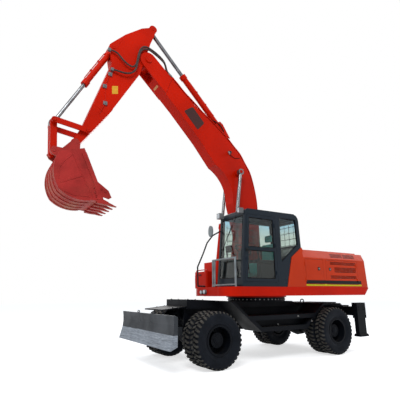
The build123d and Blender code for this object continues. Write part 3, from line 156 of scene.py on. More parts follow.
def newMaterial(name, settings):
    # the material, its tree, its shader's sockets and the place on the object
    stuff = bpy.data.materials.new(name)
    stuff.use_nodes = True
    tree = stuff.node_tree
    sockets = tree.nodes["Principled BSDF"].inputs
    for key, value in settings.items():
        sockets[key].default_value = value
    return stuff, tree, sockets, tree.nodes.new("ShaderNodeTexCoord").outputs["Object"]


# studio: floor, sky and lamps (name, place, watts, size)
studio = {
    "floorSize": 60, "floorZ": -0.002, "floorPaint": (0.85, 0.85, 0.85), "floorGlow": 0.62,
    "sky": (0.84, 0.91, 1), "ambient": 0.5, "backdrop": (1, 1, 1), "lampsAim": (0, 0, 2.8),
    "lamps": [("keyLamp", (8, 10, 13), 1150, 6), ("fillLamp", (14, -2, 7), 300, 8),
        ("rimLamp", (-12, 4, 10), 420, 6), ("backLamp", (-4, -12, 9), 480, 8)],
}


def seenRays(tree):
    # 1 for the eye, for reflections and through glass; 0 for the light that falls on the object
    path = tree.nodes.new("ShaderNodeLightPath").outputs
    seen = mathNode(tree, "MAXIMUM", path["Is Camera Ray"], path["Is Glossy Ray"])
    return mathNode(tree, "MAXIMUM", seen, path["Is Transmission Ray"])


def makeSky(setup):
    world = bpy.data.worlds.new("studioSky")
    bpy.context.scene.world = world
    world.use_nodes = True
    tree = world.node_tree
    sky = tree.nodes["Background"]
    backdrop = tree.nodes.new("ShaderNodeBackground")
    mix = tree.nodes.new("ShaderNodeMixShader")
    feed(tree, sky.inputs["Color"], setup["sky"])
    feed(tree, sky.inputs["Strength"], setup["ambient"])
    feed(tree, backdrop.inputs["Color"], setup["backdrop"])
    for socket, source in zip(mix.inputs, (seenRays(tree), sky.outputs[0], backdrop.outputs[0])):
        tree.links.new(source, socket)
    tree.links.new(mix.outputs[0], tree.nodes["World Output"].inputs["Surface"])


def makeFloor(setup):
    mesh = bpy.data.meshes.new("floor")
    far = setup["floorSize"]
    mesh.from_pydata([(-far, -far, 0), (far, -far, 0), (far, far, 0), (-far, far, 0)], [], [(0, 1, 2, 3)])
    floor = link(bpy.data.objects.new("floor", mesh))
    floor.location.z = setup["floorZ"]
    stuff, tree, sockets, _ = newMaterial("floorPaint", {"Roughness": 1, "Specular IOR Level": 0})
    glow = tree.nodes.new("ShaderNodeEmission")
    both = tree.nodes.new("ShaderNodeAddShader")
    feed(tree, sockets["Base Color"], setup["floorPaint"])
    feed(tree, glow.inputs["Color"], setup["backdrop"])
    feed(tree, glow.inputs["Strength"], times(tree, seenRays(tree), setup["floorGlow"]))
    for socket, shader in zip(both.inputs, (tree.nodes["Principled BSDF"], glow)):
        tree.links.new(shader.outputs[0], socket)
    tree.links.new(both.outputs[0], tree.nodes["Material Output"].inputs["Surface"])
    mesh.materials.append(stuff)


def makeLamps(setup):
    for name, place, power, size in setup["lamps"]:
        light = bpy.data.lights.new(name, "AREA")
        light.energy = power
        light.size = size
        lamp = link(bpy.data.objects.new(name, light))
        lamp.location = place
        lamp.rotation_mode = "QUATERNION"
        lamp.rotation_quaternion = (Vector(setup["lampsAim"]) - Vector(place)).to_track_quat("-Z", "Y")


makeSky(studio)
makeFloor(studio)
makeLamps(studio)
bpy.context.scene.view_settings.view_transform = "Standard"
print("camera and studio ready")

# finishes: blotch = patches per metre, shade = how dark they get, grain = specks per metre and their relief,
# wear = strength and colour of what is rubbed off edges, dust = strength on what lies level
finishColumns = "colour blotch shade rough gloss grain relief wear wearColour dust".split()
finishRows = {
    "hoodPaint": ((0.6, 0.04, 0.006), 1.1, 0.14, 0.32, 0.1, 260, 0.05, 0.25, (0.42, 0.16, 0.1), 0.1),
    "deepPaint": ((0.58, 0.011, 0.0006), 0.9, 0.2, 0.34, 0.06, 260, 0.06, 0.3, (0.36, 0.1, 0.06), 0.08),
    "bucketPaint": ((0.42, 0.03, 0.026), 2.6, 0.26, 0.5, 0.1, 70, 0.1, 0.4, (0.4, 0.24, 0.19), 0.1),
    "frameBlack": ((0.0046, 0.0058, 0.0085), 2.4, 0.35, 0.42, 0.07, 150, 0.14, 0.2, (0.05, 0.052, 0.058), 0.05),
    "bladeSteel": ((0.05, 0.055, 0.062), 3, 0.4, 0.5, 0.12, 120, 0.25, 0.6, (0.3, 0.32, 0.35), 0.05),
    "guardGrey": ((0.24, 0.27, 0.28), 6, 0.3, 0.4, 0.4, 200, 0.1, 0.4, (0.4, 0.42, 0.44), 0.04),
    "cabPaint": ((0.005, 0.012, 0.021), 1.4, 0.2, 0.3, 0.16, 260, 0.05, 0.2, (0.08, 0.1, 0.12), 0.04),
    "polishedRod": ((0.21, 0.215, 0.225), 7, 0.35, 0.16, 0.3, 300, 0.03, 0, None, 0),
    "sidewallRubber": ((0.0085, 0.0105, 0.015), 5, 0.35, 0.62, 0.08, 320, 0.18, 0.25, (0.05, 0.05, 0.05), 0.03),
    "treadTop": ((0.066, 0.062, 0.054), 14, 0.55, 0.85, 0.2, 240, 0.35, 0.5, (0.16, 0.15, 0.13), 0.1),
    "engineIron": ((0.07, 0.07, 0.07), 9, 0.45, 0.6, 0.4, 120, 0.35, 0.3, (0.2, 0.19, 0.17), 0.1),
    "lampGrey": ((0.13, 0.135, 0.14), 12, 0.2, 0.28, 0.5, 400, 0.05, 0.3, (0.4, 0.4, 0.4), 0.04),
    "blackPlastic": ((0.01, 0.011, 0.013), 10, 0.25, 0.48, 0.12, 600, 0.16, 0.2, (0.04, 0.04, 0.04), 0.05),
    "softRubber": ((0.014, 0.013, 0.013), 16, 0.3, 0.66, 0.08, 500, 0.2, 0, None, 0.05),
    "hoseBrown": ((0.06, 0.036, 0.032), 20, 0.4, 0.6, 0.25, 700, 0.4, 0, None, 0.05),
    "zincBolt": ((0.26, 0.26, 0.25), 30, 0.35, 0.38, 0.5, 500, 0.2, 0.2, (0.5, 0.5, 0.5), 0.03),
    "labelYellow": ((0.72, 0.36, 0.02), 20, 0.15, 0.4, 0.3, 400, 0.03, 0.1, (0.4, 0.3, 0.1), 0.05),
    "labelPale": ((0.72, 0.3, 0.12), 20, 0.15, 0.4, 0.2, 400, 0.03, 0.1, (0.4, 0.2, 0.1), 0.05),
    "labelDark": ((0.045, 0.006, 0.005), 6, 0.25, 0.32, 0.3, 400, 0.03, 0.1, (0.2, 0.1, 0.08), 0.05),
    "lensClear": ((0.62, 0.66, 0.68), 25, 0.2, 0.12, 0.6, 160, 0.35, 0, None, 0),
    "lensRed": ((0.42, 0.01, 0.008), 25, 0.2, 0.14, 0.6, 160, 0.35, 0, None, 0),
    "mirrorFace": ((0.62, 0.66, 0.66), 5, 0.1, 0.05, 0.5, 100, 0, 0, None, 0),
}
# coats, metals, and edges that are sharper than the usual 6 mm
finishExtras = {
    "hoodPaint": {"coat": 0.05}, "deepPaint": {"coat": 0.03}, "cabPaint": {"coat": 0.05},
    "bladeSteel": {"metal": 0.1}, "engineIron": {"metal": 0.5}, "zincBolt": {"metal": 0.8},
    "mirrorFace": {"metal": 1}, "polishedRod": {"metal": 0.9, "edge": 0.0015}, "bucketPaint": {"edge": 0.004},
}

# stripes on the engine housing's sides (bottom, top, colour), the line up to which the blade is scoured, what
# shows on the bucket where paint is worn or scorched, and dust
stripes = {
    "beside": 1.235, "run": (-3.664, -1.651),
    "bands": [(1.6, 1.682, (0.006, 0.006, 0.008)), (1.553, 1.592, (0.55, 0.52, 0.01))],
}
scour = {"line": 0.675, "wander": 0.025, "front": 1.6, "steel": ((0.2, 0.22, 0.25), (0.38, 0.42, 0.47))}
rub = {"worn": (0.36, 0.13, 0.075), "soot": (0.16, 0.016, 0.012)}
dustColour = (0.2, 0.16, 0.12)


def hoodStripes(tree, colour, place):
    # black stripe over a lime line along both sides of the engine housing
    x, y, z = split(tree, place)
    side = mathNode(tree, "GREATER_THAN", mathNode(tree, "ABSOLUTE", y), stripes["beside"])
    run = times(tree, band(tree, x, *stripes["run"]), side)
    for low, high, paint in stripes["bands"]:
        colour = mixColour(tree, times(tree, run, band(tree, z, low, high)), colour, paint)
    return colour


def scouredEdge(tree, colour, place):
    # the blade's lower part is rubbed bare, in streaks along it
    x, y, z = split(tree, place)
    streaks = noise(tree, place, 9, 6, (1, 0.25, 6))
    wander = times(tree, mathNode(tree, "SUBTRACT", streaks, 0.5), scour["wander"])
    line = mathNode(tree, "ADD", scour["line"], wander)
    front = mathNode(tree, "GREATER_THAN", x, scour["front"])
    below = times(tree, mathNode(tree, "LESS_THAN", z, line), front)
    share = times(tree, below, spread(tree, streaks, 0.3, 0.62, 0.55, 1))
    fine = spread(tree, noise(tree, place, 30, 5, (1, 0.3, 5)), 0.35, 0.65, 0, 1)
    return mixColour(tree, share, colour, mixColour(tree, fine, *scour["steel"]))


def rubbedShell(tree, colour, place):
    # pale bands of worn paint round the bucket's back and darker scorched streaks
    normal = tree.nodes.new("ShaderNodeNewGeometry").outputs["Normal"]
    flank = spread(tree, mathNode(tree, "ABSOLUTE", split(tree, normal)[1]), 0.3, 0.8, 1, 0.12)
    worn = spread(tree, noise(tree, place, 2.2, 7, (1, 0.35, 1)), 0.42, 0.66, 0, 0.75)
    colour = mixColour(tree, times(tree, worn, flank), colour, rub["worn"])
    soot = spread(tree, noise(tree, place, 4, 6), 0.6, 0.8, 0, 0.35)
    return mixColour(tree, soot, colour, rub["soot"])


patterns = {"hoodPaint": hoodStripes, "bladeSteel": scouredEdge, "bucketPaint": rubbedShell}


def makeFinish(name, look):
    stuff, tree, sockets, place = newMaterial(name, {
        "Metallic": look.get("metal", 0), "Specular IOR Level": look["gloss"],
        "Coat Weight": look.get("coat", 0), "Coat Roughness": 0.12})
    facing = tree.nodes.new("ShaderNodeNewGeometry").outputs["Normal"]
    patch = noise(tree, place, look["blotch"], 6)
    dark = tuple(c * (1 - look["shade"]) for c in look["colour"])
    colour = mixColour(tree, spread(tree, patch, 0.36, 0.62, 0, 1), dark, look["colour"])
    if name in patterns:
        colour = patterns[name](tree, colour, place)
    if look["dust"]:
        level = spread(tree, split(tree, facing)[2], 0.55, 1, 0, 1)
        lying = spread(tree, noise(tree, place, 3.5, 5), 0.4, 0.75, 0, look["dust"] * 3)
        colour = mixColour(tree, times(tree, level, lying), colour, dustColour)
    soft = tree.nodes.new("ShaderNodeBevel")
    soft.samples = 3
    soft.inputs["Radius"].default_value = look.get("edge", 0.006)
    if look["wear"]:
        aligned = tree.nodes.new("ShaderNodeVectorMath")
        aligned.operation = "DOT_PRODUCT"
        tree.links.new(soft.outputs[0], aligned.inputs[0])
        tree.links.new(facing, aligned.inputs[1])
        edge = spread(tree, aligned.outputs["Value"], 0.97, 0.8, 0, 1)
        rubbed = spread(tree, noise(tree, place, 11, 5), 0.42, 0.62, 0, look["wear"])
        colour = mixColour(tree, times(tree, edge, rubbed), colour, look["wearColour"])
    tree.links.new(colour, sockets["Base Color"])
    rough = spread(tree, patch, 0.3, 0.7, min(1, look["rough"] + 0.1), max(0, look["rough"] - 0.05))
    tree.links.new(rough, sockets["Roughness"])
    addRelief(tree, sockets, noise(tree, place, look["grain"], 3), look["relief"], 0.003, soft.outputs[0])
    return stuff


made = {}
for name, row in finishRows.items():
    made[name] = makeFinish(name, {**dict(zip(finishColumns, row)), **finishExtras.get(name, {})})

# cab glass: green-blue tint, turning paler blue under the roof as a painted sky reflection; seat cloth: teal
# weave
glassLook = {
    "tint": (0.66, 0.74, 0.7), "haze": 0.88, "band": (0.52, 0.76, 0.88), "skyReflectionFrom": 2.72, "skyReflectionTo": 3.02,
}
clothLook = {
    "thread": (0.016, 0.42, 0.4), "gap": (0.006, 0.2, 0.19), "threads": 420, "stain": (0.02, 0.12, 0.12),
}


def makeGlass(look):
    stuff, tree, sockets, place = newMaterial("tintedGlass", {"Transmission Weight": 1, "IOR": 1.35})
    smear = noise(tree, place, 2.5, 5)
    # painted sky reflection: the tint turns paler blue towards the roof
    high = spread(tree, split(tree, place)[2], look["skyReflectionFrom"], look["skyReflectionTo"], 0, 1)
    tint = mixColour(tree, high, look["tint"], look["band"])
    hazy = tuple(c * look["haze"] for c in look["tint"])
    tree.links.new(mixColour(tree, spread(tree, smear, 0.4, 0.7, 0, 0.5), tint, hazy), sockets["Base Color"])
    tree.links.new(spread(tree, smear, 0.3, 0.8, 0.01, 0.07), sockets["Roughness"])
    return stuff


def makeCloth(look):
    stuff, tree, sockets, place = newMaterial("seatWeave", {
        "Roughness": 0.9, "Sheen Weight": 0.3, "Specular IOR Level": 0.2})
    total = None
    for direction in ("X", "Y", "Z"):
        wave = tree.nodes.new("ShaderNodeTexWave")
        wave.bands_direction = direction
        wave.inputs["Scale"].default_value = look["threads"]
        wave.inputs["Distortion"].default_value = 0.6
        tree.links.new(place, wave.inputs["Vector"])
        total = wave.outputs["Fac"] if total is None else mathNode(tree, "ADD", total, wave.outputs["Fac"])
    weave = times(tree, total, 0.333)
    colour = mixColour(tree, weave, look["gap"], look["thread"])
    worn = spread(tree, noise(tree, place, 6, 5), 0.45, 0.75, 0, 0.35)
    tree.links.new(mixColour(tree, worn, colour, look["stain"]), sockets["Base Color"])
    addRelief(tree, sockets, weave, 0.5, 0.0015)
    return stuff


made["tintedGlass"] = makeGlass(glassLook)
made["seatWeave"] = makeCloth(clothLook)

# which finish a material slot of the record gets, and nodes that differ from their slot
slotFinish = {
    "orange": "hoodPaint", "deep_red": "deepPaint", "bucket_red": "bucketPaint", "undercarriage": "frameBlack",
    "blade_steel": "bladeSteel", "cab_grey": "cabPaint", "window": "tintedGlass", "rod_chrome": "polishedRod",
    "tyre": "sidewallRubber", "engine_iron": "engineIron", "seat_cloth": "seatWeave", "lamp_grey": "lampGrey",
    "black_plastic": "blackPlastic",
}
nodeFinish = {"front_guard": "guardGrey", "mirror": "guardGrey"}
for part in frame["record"]["subparts"]:
    thing = nodes[part["node"]]
    thing.data.materials.clear()
    thing.data.materials.append(made[nodeFinish.get(part["node"], slotFinish[part["material_slot"]])])
print("finishes ready:", len(made))

# shared ways to make shapes; look is the place of a face's finish in the piece's list
searchTrees = {}


def surfaceAt(node, start, toward):
    # where a line from start meets a CAD node, and the way that face looks
    if node not in searchTrees:
        mesh = nodes[node].data
        corners = [v.co.copy() for v in mesh.vertices]
        searchTrees[node] = BVHTree.FromPolygons(corners, [list(p.vertices) for p in mesh.polygons])
    point, normal, _, _ = searchTrees[node].ray_cast(Vector(start), Vector(toward).normalized())
    if point is None:
        print("nothing met on", node, "from", [round(c, 3) for c in start])
    return point, normal


def along(start, facing):
    return Matrix.Translation(Vector(start)) @ Vector(facing).to_track_quat("Z", "Y").to_matrix().to_4x4()


def dye(faces, look):
    for face in faces:
        face.material_index = look


def addBlock(shape, low, high, soft=0.004, turn=None, look=0):
    low, high = Vector(low), Vector(high)
    place = Matrix.Translation((low + high) / 2) @ Matrix.Diagonal((*(high - low), 1))
    if turn is not None:
        place = turn @ place
    corners = bmesh.ops.create_cube(shape, size=1, matrix=place)["verts"]
    dye({f for v in corners for f in v.link_faces}, look)
    if soft:
        edges = list(dict.fromkeys(e for v in corners for e in v.link_edges))
        bmesh.ops.bevel(shape, geom=edges, offset=soft, segments=2, profile=0.6, material=look, affect="EDGES")


def addBox(shape, middle, half, soft=0.004, look=0):
    middle, half = Vector(middle), Vector(half)
    addBlock(shape, middle - half, middle + half, soft, None, look)


def addRod(shape, start, end, radius, sides=16, tip=None, look=0):
    start, end = Vector(start), Vector(end)
    far = (end - start).length
    place = along(start, end - start) @ Matrix.Translation((0, 0, far / 2))
    ring = bmesh.ops.create_cone(shape, cap_ends=True, segments=sides, radius1=radius,
                                 radius2=radius if tip is None else tip, depth=far, matrix=place)["verts"]
    dye({f for v in ring for f in v.link_faces}, look)


def addBolt(shape, place, facing, across=0.012, tall=0.01, look=0):
    # a washer and a six-sided head on it
    facing = Vector(facing).normalized()
    place = Vector(place)
    washer = place + facing * tall * 0.25
    addRod(shape, place - facing * 0.002, washer, across * 1.25, 14, None, look)
    addRod(shape, washer, place + facing * tall, across, 6, across * 0.93, look)


def boltOn(shape, node, start, toward, across, tall, look=0, leaning=False):
    # a bolt where a line from start meets a node: square to the line, or leaning with a nearly square face
    point, normal = surfaceAt(node, start, toward)
    back = -Vector(toward)
    if point is None or leaning and normal.dot(back) < 0.7:
        return
    addBolt(shape, point, normal if leaning else back, across, tall, look)


def addTurned(shape, profile, origin, axis, steps=32, look=0):
    # profile: (along the axis, radius)
    lathe = along(origin, axis)
    rings = []
    for far, radius in profile:
        turns = [2 * math.pi * i / steps for i in range(steps)] if radius else [0]
        spots = [Vector((radius * math.cos(turn), radius * math.sin(turn), far)) for turn in turns]
        rings.append([shape.verts.new(lathe @ spot) for spot in spots])
    for a, b in zip(rings, rings[1:]):
        for i in range(steps):
            j = (i + 1) % steps
            corners = [a[i % len(a)], a[j % len(a)], b[j % len(b)], b[i % len(b)]]
            corners = [c for n, c in enumerate(corners) if c not in corners[:n]]
            if len(corners) > 2:
                shape.faces.new(corners).material_index = look


def addSlab(shape, outline, near, far):
    # a flat plate: outline of (x, z), thick from near to far along y
    front = [shape.verts.new((x, near, z)) for x, z in outline]
    back = [shape.verts.new((x, far, z)) for x, z in outline]
    shape.faces.new(front)
    shape.faces.new(back)
    for i in range(len(outline)):
        j = (i + 1) % len(outline)
        shape.faces.new((front[i], front[j], back[j], back[i]))


def joinRings(shape, rings):
    # four-sided faces from each ring to the next and from the last to the first, each ring closed
    for a, b in zip(rings, rings[1:] + rings[:1]):
        for i in range(len(a)):
            j = (i + 1) % len(a)
            shape.faces.new((a[i], a[j], b[j], b[i]))


def enter(name, mesh, body):
    for polygon in mesh.polygons:
        polygon.use_smooth = True
    piece = link(bpy.data.objects.new(name, mesh))
    if body:
        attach(piece, body)
    return piece


def makePiece(name, shape, body, looks, angle=35):
    bmesh.ops.recalc_face_normals(shape, faces=shape.faces)
    mesh = bpy.data.meshes.new(name)
    shape.to_mesh(mesh)
    shape.free()
    for look in looks:
        mesh.materials.append(made[look])
    piece = enter(name, mesh, body)
    mesh.set_sharp_from_angle(angle=math.radians(angle))
    return piece


def makeTubes(name, runs, body, look, sides=3):
    # runs: (radius, points, smooth); each becomes a tube along one spline
    line = bpy.data.curves.new(name + "Line", "CURVE")
    line.dimensions = "3D"
    line.bevel_depth = 1
    line.bevel_resolution = sides
    line.resolution_u = 8
    line.use_fill_caps = True
    for radius, points, smooth in runs:
        spline = line.splines.new("NURBS" if smooth else "POLY")
        spline.points.add(len(points) - 1)
        for spot, place in zip(spline.points, points):
            spot.co = (*place, 1)
            spot.radius = radius
        if smooth:
            spline.order_u = 3
            spline.use_endpoint_u = True
    holder = link(bpy.data.objects.new(name + "Line", line))
    mesh = bpy.data.meshes.new_from_object(holder.evaluated_get(bpy.context.evaluated_depsgraph_get()))
    bpy.data.objects.remove(holder)
    mesh.name = name
    mesh.materials.clear()
    mesh.materials.append(made[look])
    return enter(name, mesh, body)


# tyres: carcass of (radius, across); lug rows of (across, top radius, degrees ahead, half width in degrees,
# foot radius); middles of (y, stagger in degrees)
tyreForm = {
    "axleZ": 0.528, "axleX": {"front": 0.79, "rear": -2.56}, "middles": [(0.84, 0), (1.16, 5)],
    "steps": 72, "lugs": 36, "halfPitch": 5, "topShare": 0.86, "treadRows": 4,
    "lugRows": [(0.009, 0.527, 0, 3.4, 0.499), (0.055, 0.5273, 1, 3.2, 0.499), (0.096, 0.5262, 2.6, 3, 0.498),
        (0.116, 0.517, 3.2, 2.7, 0.49), (0.1295, 0.49, 3.5, 2.2, 0.474), (0.1365, 0.464, 3.6, 1.6, 0.455)],
    "carcass": [(0.263, 0.09), (0.268, 0.094), (0.28, 0.0975), (0.293, 0.103), (0.3, 0.11), (0.304, 0.1135),
        (0.31, 0.114), (0.325, 0.12), (0.35, 0.1295), (0.3535, 0.1322), (0.357, 0.131), (0.385, 0.1368),
        (0.425, 0.1396), (0.444, 0.1388), (0.447, 0.1397), (0.45, 0.1382), (0.47, 0.134), (0.484, 0.1265),
        (0.495, 0.115), (0.5005, 0.1), (0.502, 0.05), (0.502, 0)],
}


def makeTyres(form, name, body, axleX, side):
    shape = bmesh.new()

    def spotAt(radius, y, turn):
        return shape.verts.new((axleX + radius * math.sin(turn), y, form["axleZ"] + radius * math.cos(turn)))

    def addLug(start, middle, half):
        loops = []
        for across, top, ahead, wide, foot in form["lugRows"]:
            narrow = wide * form["topShare"]
            corners = ((foot, -wide), (top, -narrow), (top, narrow), (foot, wide))
            y, turned = middle + half * across, start + ahead
            loops.append([spotAt(r, y, math.radians(turned + turn)) for r, turn in corners])
        for n, (a, b) in enumerate(zip(loops, loops[1:])):
            for i in range(3):
                face = shape.faces.new((a[i], a[i + 1], b[i + 1], b[i]))
                face.material_index = int(i == 1 and n < form["treadRows"])
        shape.faces.new(loops[0])
        shape.faces.new(list(reversed(loops[-1])))

    turns = [2 * math.pi * i / form["steps"] for i in range(form["steps"])]
    section = form["carcass"] + [(r, -y) for r, y in reversed(form["carcass"][:-1])]
    for middle, stagger in form["middles"]:
        joinRings(shape, [[spotAt(r, side * middle + y, turn) for turn in turns] for r, y in section])
        for half in (1, -1):
            for k in range(form["lugs"]):
                start = k * 360 / form["lugs"] + stagger + (form["halfPitch"] if half < 0 else 0)
                addLug(start, side * middle, half)
    piece = makePiece(name, shape, body, ["sidewallRubber", "treadTop"], 28)
    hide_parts(body.replace("wheels", "tyres"))


# wheels: nuts and hub bolts (count, circle, across, tall), hub cap, valve
wheelForm = {
    "bolts": [(10, 0.182, 0.017, 0.026), (12, 0.108, 0.01, 0.009)], "outside": 1.4,
    "hubCap": [(-0.002, 0.078), (0.008, 0.078), (0.014, 0.072), (0.014, 0.052), (0.024, 0.046), (0.028, 0.034),
        (0.028, 0)],
    "valveCircle": 0.226, "valveTurn": 0.3, "valveReach": (1.03, 1.085),
}


def makeWheelFixings(form, name, body, axleX, side):
    shape = bmesh.new()
    rims = body.replace("wheels", "rims")

    def spotAt(radius, turn, out):
        return (axleX + radius * math.sin(turn), side * out, tyreForm["axleZ"] + radius * math.cos(turn))

    for count, circle, across, tall in form["bolts"]:
        for k in range(count):
            start = spotAt(circle, 2 * math.pi * (k + 0.5) / count, form["outside"])
            boltOn(shape, rims, start, (0, -side, 0), across, tall)
    point, _ = surfaceAt(rims, spotAt(0, 0, form["outside"]), (0, -side, 0))
    if point:
        addTurned(shape, form["hubCap"], point, (0, side, 0), 28)
    foot, tip = (spotAt(form["valveCircle"], form["valveTurn"], out) for out in form["valveReach"])
    addRod(shape, foot, tip, 0.006, 10, 0.005, 1)
    makePiece(name, shape, body, ["frameBlack", "zincBolt"])


for end, axleX in tyreForm["axleX"].items():
    for hand, side in (("left", 1), ("right", -1)):
        body = end + "_" + hand + "_wheels"
        makeTyres(tyreForm, end + hand.capitalize() + "Tyres", body, axleX, side)
        makeWheelFixings(wheelForm, end + hand.capitalize() + "WheelNuts", body, axleX, side)
print("tyres and wheel nuts made")

# undercarriage: ring, box, frame and jack bolts (frame: places along and across it, size across, height),
# gearbox and shafts, tie-down hooks, rear lamps (x, y and z ranges, softness of edges), step bars
chassisForm = {
    "ringX": -1.19, "ringBolts": 44, "ringZ": 1.252,
    "boxBolts": [(-0.436, 0.74), (-1.095, 0.71), (-1.513, 0.885), (-1.95, 0.76)],
    "frameBolts": [((0.62, 0.8, 0.98, 1.16, 1.34), (0.38,), 0.014, 0.012),
        ((-2, -2.2), (0.3, 0.42), 0.012, 0.011), ((-2.9, -3.2), (0.36,), 0.012, 0.011)],
    "jackBolts": [(x, z) for z in (0.98, 1.04) for x in (-3.745, -3.565)],
    "gearbox": ((-1.42, -0.16, 0.62), (-0.96, 0.16, 0.9)), "flanges": ((-0.96, -0.9), (-1.42, -1.48)),
    "shafts": [((-0.9, 0, 0.7), (0.6, 0, 0.585)), ((-1.48, 0, 0.7), (-2.35, 0, 0.585))], "shaftRadius": 0.042,
    "hook": [(-2.36, 1.15), (-2.36, 1.225), (-2.3, 1.245), (-2.24, 1.225), (-2.24, 1.15)], "hookY": 0.47,
    "lampPlace": (-4.3, 0.62, 1.03),
    "lampParts": [((-0.004, 0.012), (-0.105, 0.105), (0.985, 1.075), 0.003),
        ((-0.014, -0.003), (-0.092, 0.018), (0.995, 1.065), 0.004),
        ((-0.014, -0.003), (0.024, 0.092), (0.995, 1.065), 0.004)],
    "stepBars": [-1.72 + k * 0.13 for k in range(9)], "stepY": 1.02, "barY": 0.98,
}


def makeChassisBolts(form):
    shape = bmesh.new()
    ring = Vector((form["ringX"], 0, form["ringZ"]))
    for k in range(form["ringBolts"]):
        turn = 2 * math.pi * k / form["ringBolts"]
        out = Vector((math.cos(turn), math.sin(turn), 0))
        boltOn(shape, "slewing_ring", ring + out * 1.2, -out, 0.013, 0.012, 1)
    for x, z in form["boxBolts"]:
        for side in (1, -1):
            boltOn(shape, "side_boxes", (x, side * 1.4, z), (0, -side, 0), 0.017, 0.014, 1)
    for rows, columns, across, tall in form["frameBolts"]:
        for x in rows:
            for y in columns:
                for side in (1, -1):
                    boltOn(shape, "chassis_frame", (x, side * y, 2), (0, 0, -1), across, tall, 0, True)
    for side in (1, -1):
        for x, z in form["jackBolts"]:
            boltOn(shape, "chassis_frame", (x, side * 1.5, z), (0, -side, 0), 0.013, 0.012)
    makePiece("chassisBolts", shape, "chassis", ["frameBlack", "zincBolt"])


def makeDriveShafts(form):
    shape = bmesh.new()
    addBlock(shape, *form["gearbox"], 0.035)
    for near, far in form["flanges"]:
        addRod(shape, (near, 0, 0.7), (far, 0, 0.7), 0.075, 20)
    for start, end in form["shafts"]:
        start, end = Vector(start), Vector(end)
        far = end - start
        way = far.normalized()
        addRod(shape, start + far * 0.07, end - far * 0.05, form["shaftRadius"], 18)
        for joint in (start + far * 0.035, end - far * 0.025):
            addRod(shape, joint - way * 0.035, joint + way * 0.035, 0.062, 12)
        addRod(shape, end - way * 0.02, end, 0.085, 20)
    for y in (0.36, -0.36):
        addBlock(shape, (-1.3, y - 0.2, 0.86), (-1.08, y + 0.2, 0.9), 0.006)
    makePiece("driveShafts", shape, "chassis", ["frameBlack"])
    hooks = [(0.013, [(x, form["hookY"] * side, z) for x, z in form["hook"]], True) for side in (1, -1)]
    makeTubes("tieDownHooks", hooks, "chassis", "frameBlack")


def makeRearLamps(form):
    shape = bmesh.new()
    x, y, z = form["lampPlace"]
    for side in (1, -1):
        point, normal = surfaceAt("chassis_frame", (x, side * y, z), (1, 0, 0))
        if point is None or normal.x > -0.7:
            continue
        middle = Vector((point.x, side * y, 0))
        for look, (*ranges, soft) in enumerate(form["lampParts"]):
            low, high = (middle + Vector(corner) for corner in zip(*ranges))
            addBlock(shape, low, high, soft, None, look)
    makePiece("rearLamps", shape, "chassis", ["blackPlastic", "lensRed", "labelYellow"])


def makeStepBars(form):
    shape = bmesh.new()
    for side in (1, -1):
        for x in form["stepBars"]:
            point, normal = surfaceAt("side_boxes", (x, side * form["stepY"], 0.8), (0, 0, -1))
            if point and normal.z > 0.7:
                addBox(shape, (x, side * form["barY"], point.z + 0.0025), (0.006, 0.055, 0.0035), 0.002)
    makePiece("stepBars", shape, "chassis", ["frameBlack"])


makeChassisBolts(chassisForm)
makeDriveShafts(chassisForm)
makeRearLamps(chassisForm)
makeStepBars(chassisForm)

# blade: bolts along the cutting edge and the seam above them, seen from the front
bladeForm = {"boltRow": 0.492, "bolts": 12, "half": 1.18, "front": 2.6, "seamZ": 0.56, "seamHalf": 1.275}


def makeBladeBolts(form):
    shape = bmesh.new()
    for k in range(form["bolts"]):
        y = -form["half"] + 2 * form["half"] * k / (form["bolts"] - 1)
        point, normal = surfaceAt("blade", (form["front"], y, form["boltRow"]), (-1, 0, 0))
        if point:
            addBolt(shape, point - normal * 0.004, normal, 0.013, 0.009)
    makePiece("bladeEdgeBolts", shape, "blade", ["bladeSteel"])
    seam = []
    for k in range(9):
        y = -form["seamHalf"] + 2 * form["seamHalf"] * k / 8
        point, normal = surfaceAt("blade", (form["front"], y, form["seamZ"]), (-1, 0, 0))
        if point:
            seam.append(tuple(point))
    makeTubes("bladeSeam", [(0.005, seam, False)], "blade", "bladeSteel", 1)


makeBladeBolts(bladeForm)
print("undercarriage and blade dressed")

# window seals, from each pane's own outline as seen from outside the cab's middle
sealForm = {
    "wide": 0.016, "proud": 0.004, "lift": 0.0006, "middle": (-0.68, 0.79, 2.4), "least": 0.02, "share": 0.12,
}


def facesInGroups(shape):
    # faces that hang together, one group for each pane
    groups, seen = [], set()
    for face in shape.faces:
        if face in seen:
            continue
        group, todo = [], [face]
        seen.add(face)
        while todo:
            one = todo.pop()
            group.append(one)
            for edge in one.edges:
                for other in edge.link_faces:
                    if other not in seen:
                        seen.add(other)
                        todo.append(other)
        groups.append(group)
    return groups


def makeSeals(form, node, name, body):
    panes = bmesh.new()
    panes.from_mesh(nodes[node].data)
    bmesh.ops.remove_doubles(panes, verts=panes.verts, dist=1e-5)
    bmesh.ops.dissolve_limit(panes, angle_limit=math.radians(2), verts=panes.verts, edges=panes.edges)
    middle = Vector(form["middle"])
    outlines = []
    for group in facesInGroups(panes):
        least = max(form["least"], form["share"] * max(f.calc_area() for f in group))
        for face in group:
            if face.calc_area() > least and (face.calc_center_median() - middle).dot(face.normal) > 0:
                outlines.append(([v.co.copy() for v in face.verts], face.normal.copy()))
    panes.free()
    shape = bmesh.new()
    for corners, normal in outlines:
        face = shape.faces.new([shape.verts.new(c + normal * form["lift"]) for c in corners])
        face.normal_update()
        sides = bmesh.ops.inset_individual(shape, faces=[face], thickness=form["wide"],
                                           use_even_offset=True)["faces"]
        bmesh.ops.delete(shape, geom=[face], context="FACES_ONLY")
        lifted = bmesh.ops.extrude_face_region(shape, geom=sides)["geom"]
        for vert in (g for g in lifted if isinstance(g, bmesh.types.BMVert)):
            vert.co += normal * form["proud"]
    makePiece(name, shape, body, ["softRubber"], 30)
    print(name, len(outlines), "panes")


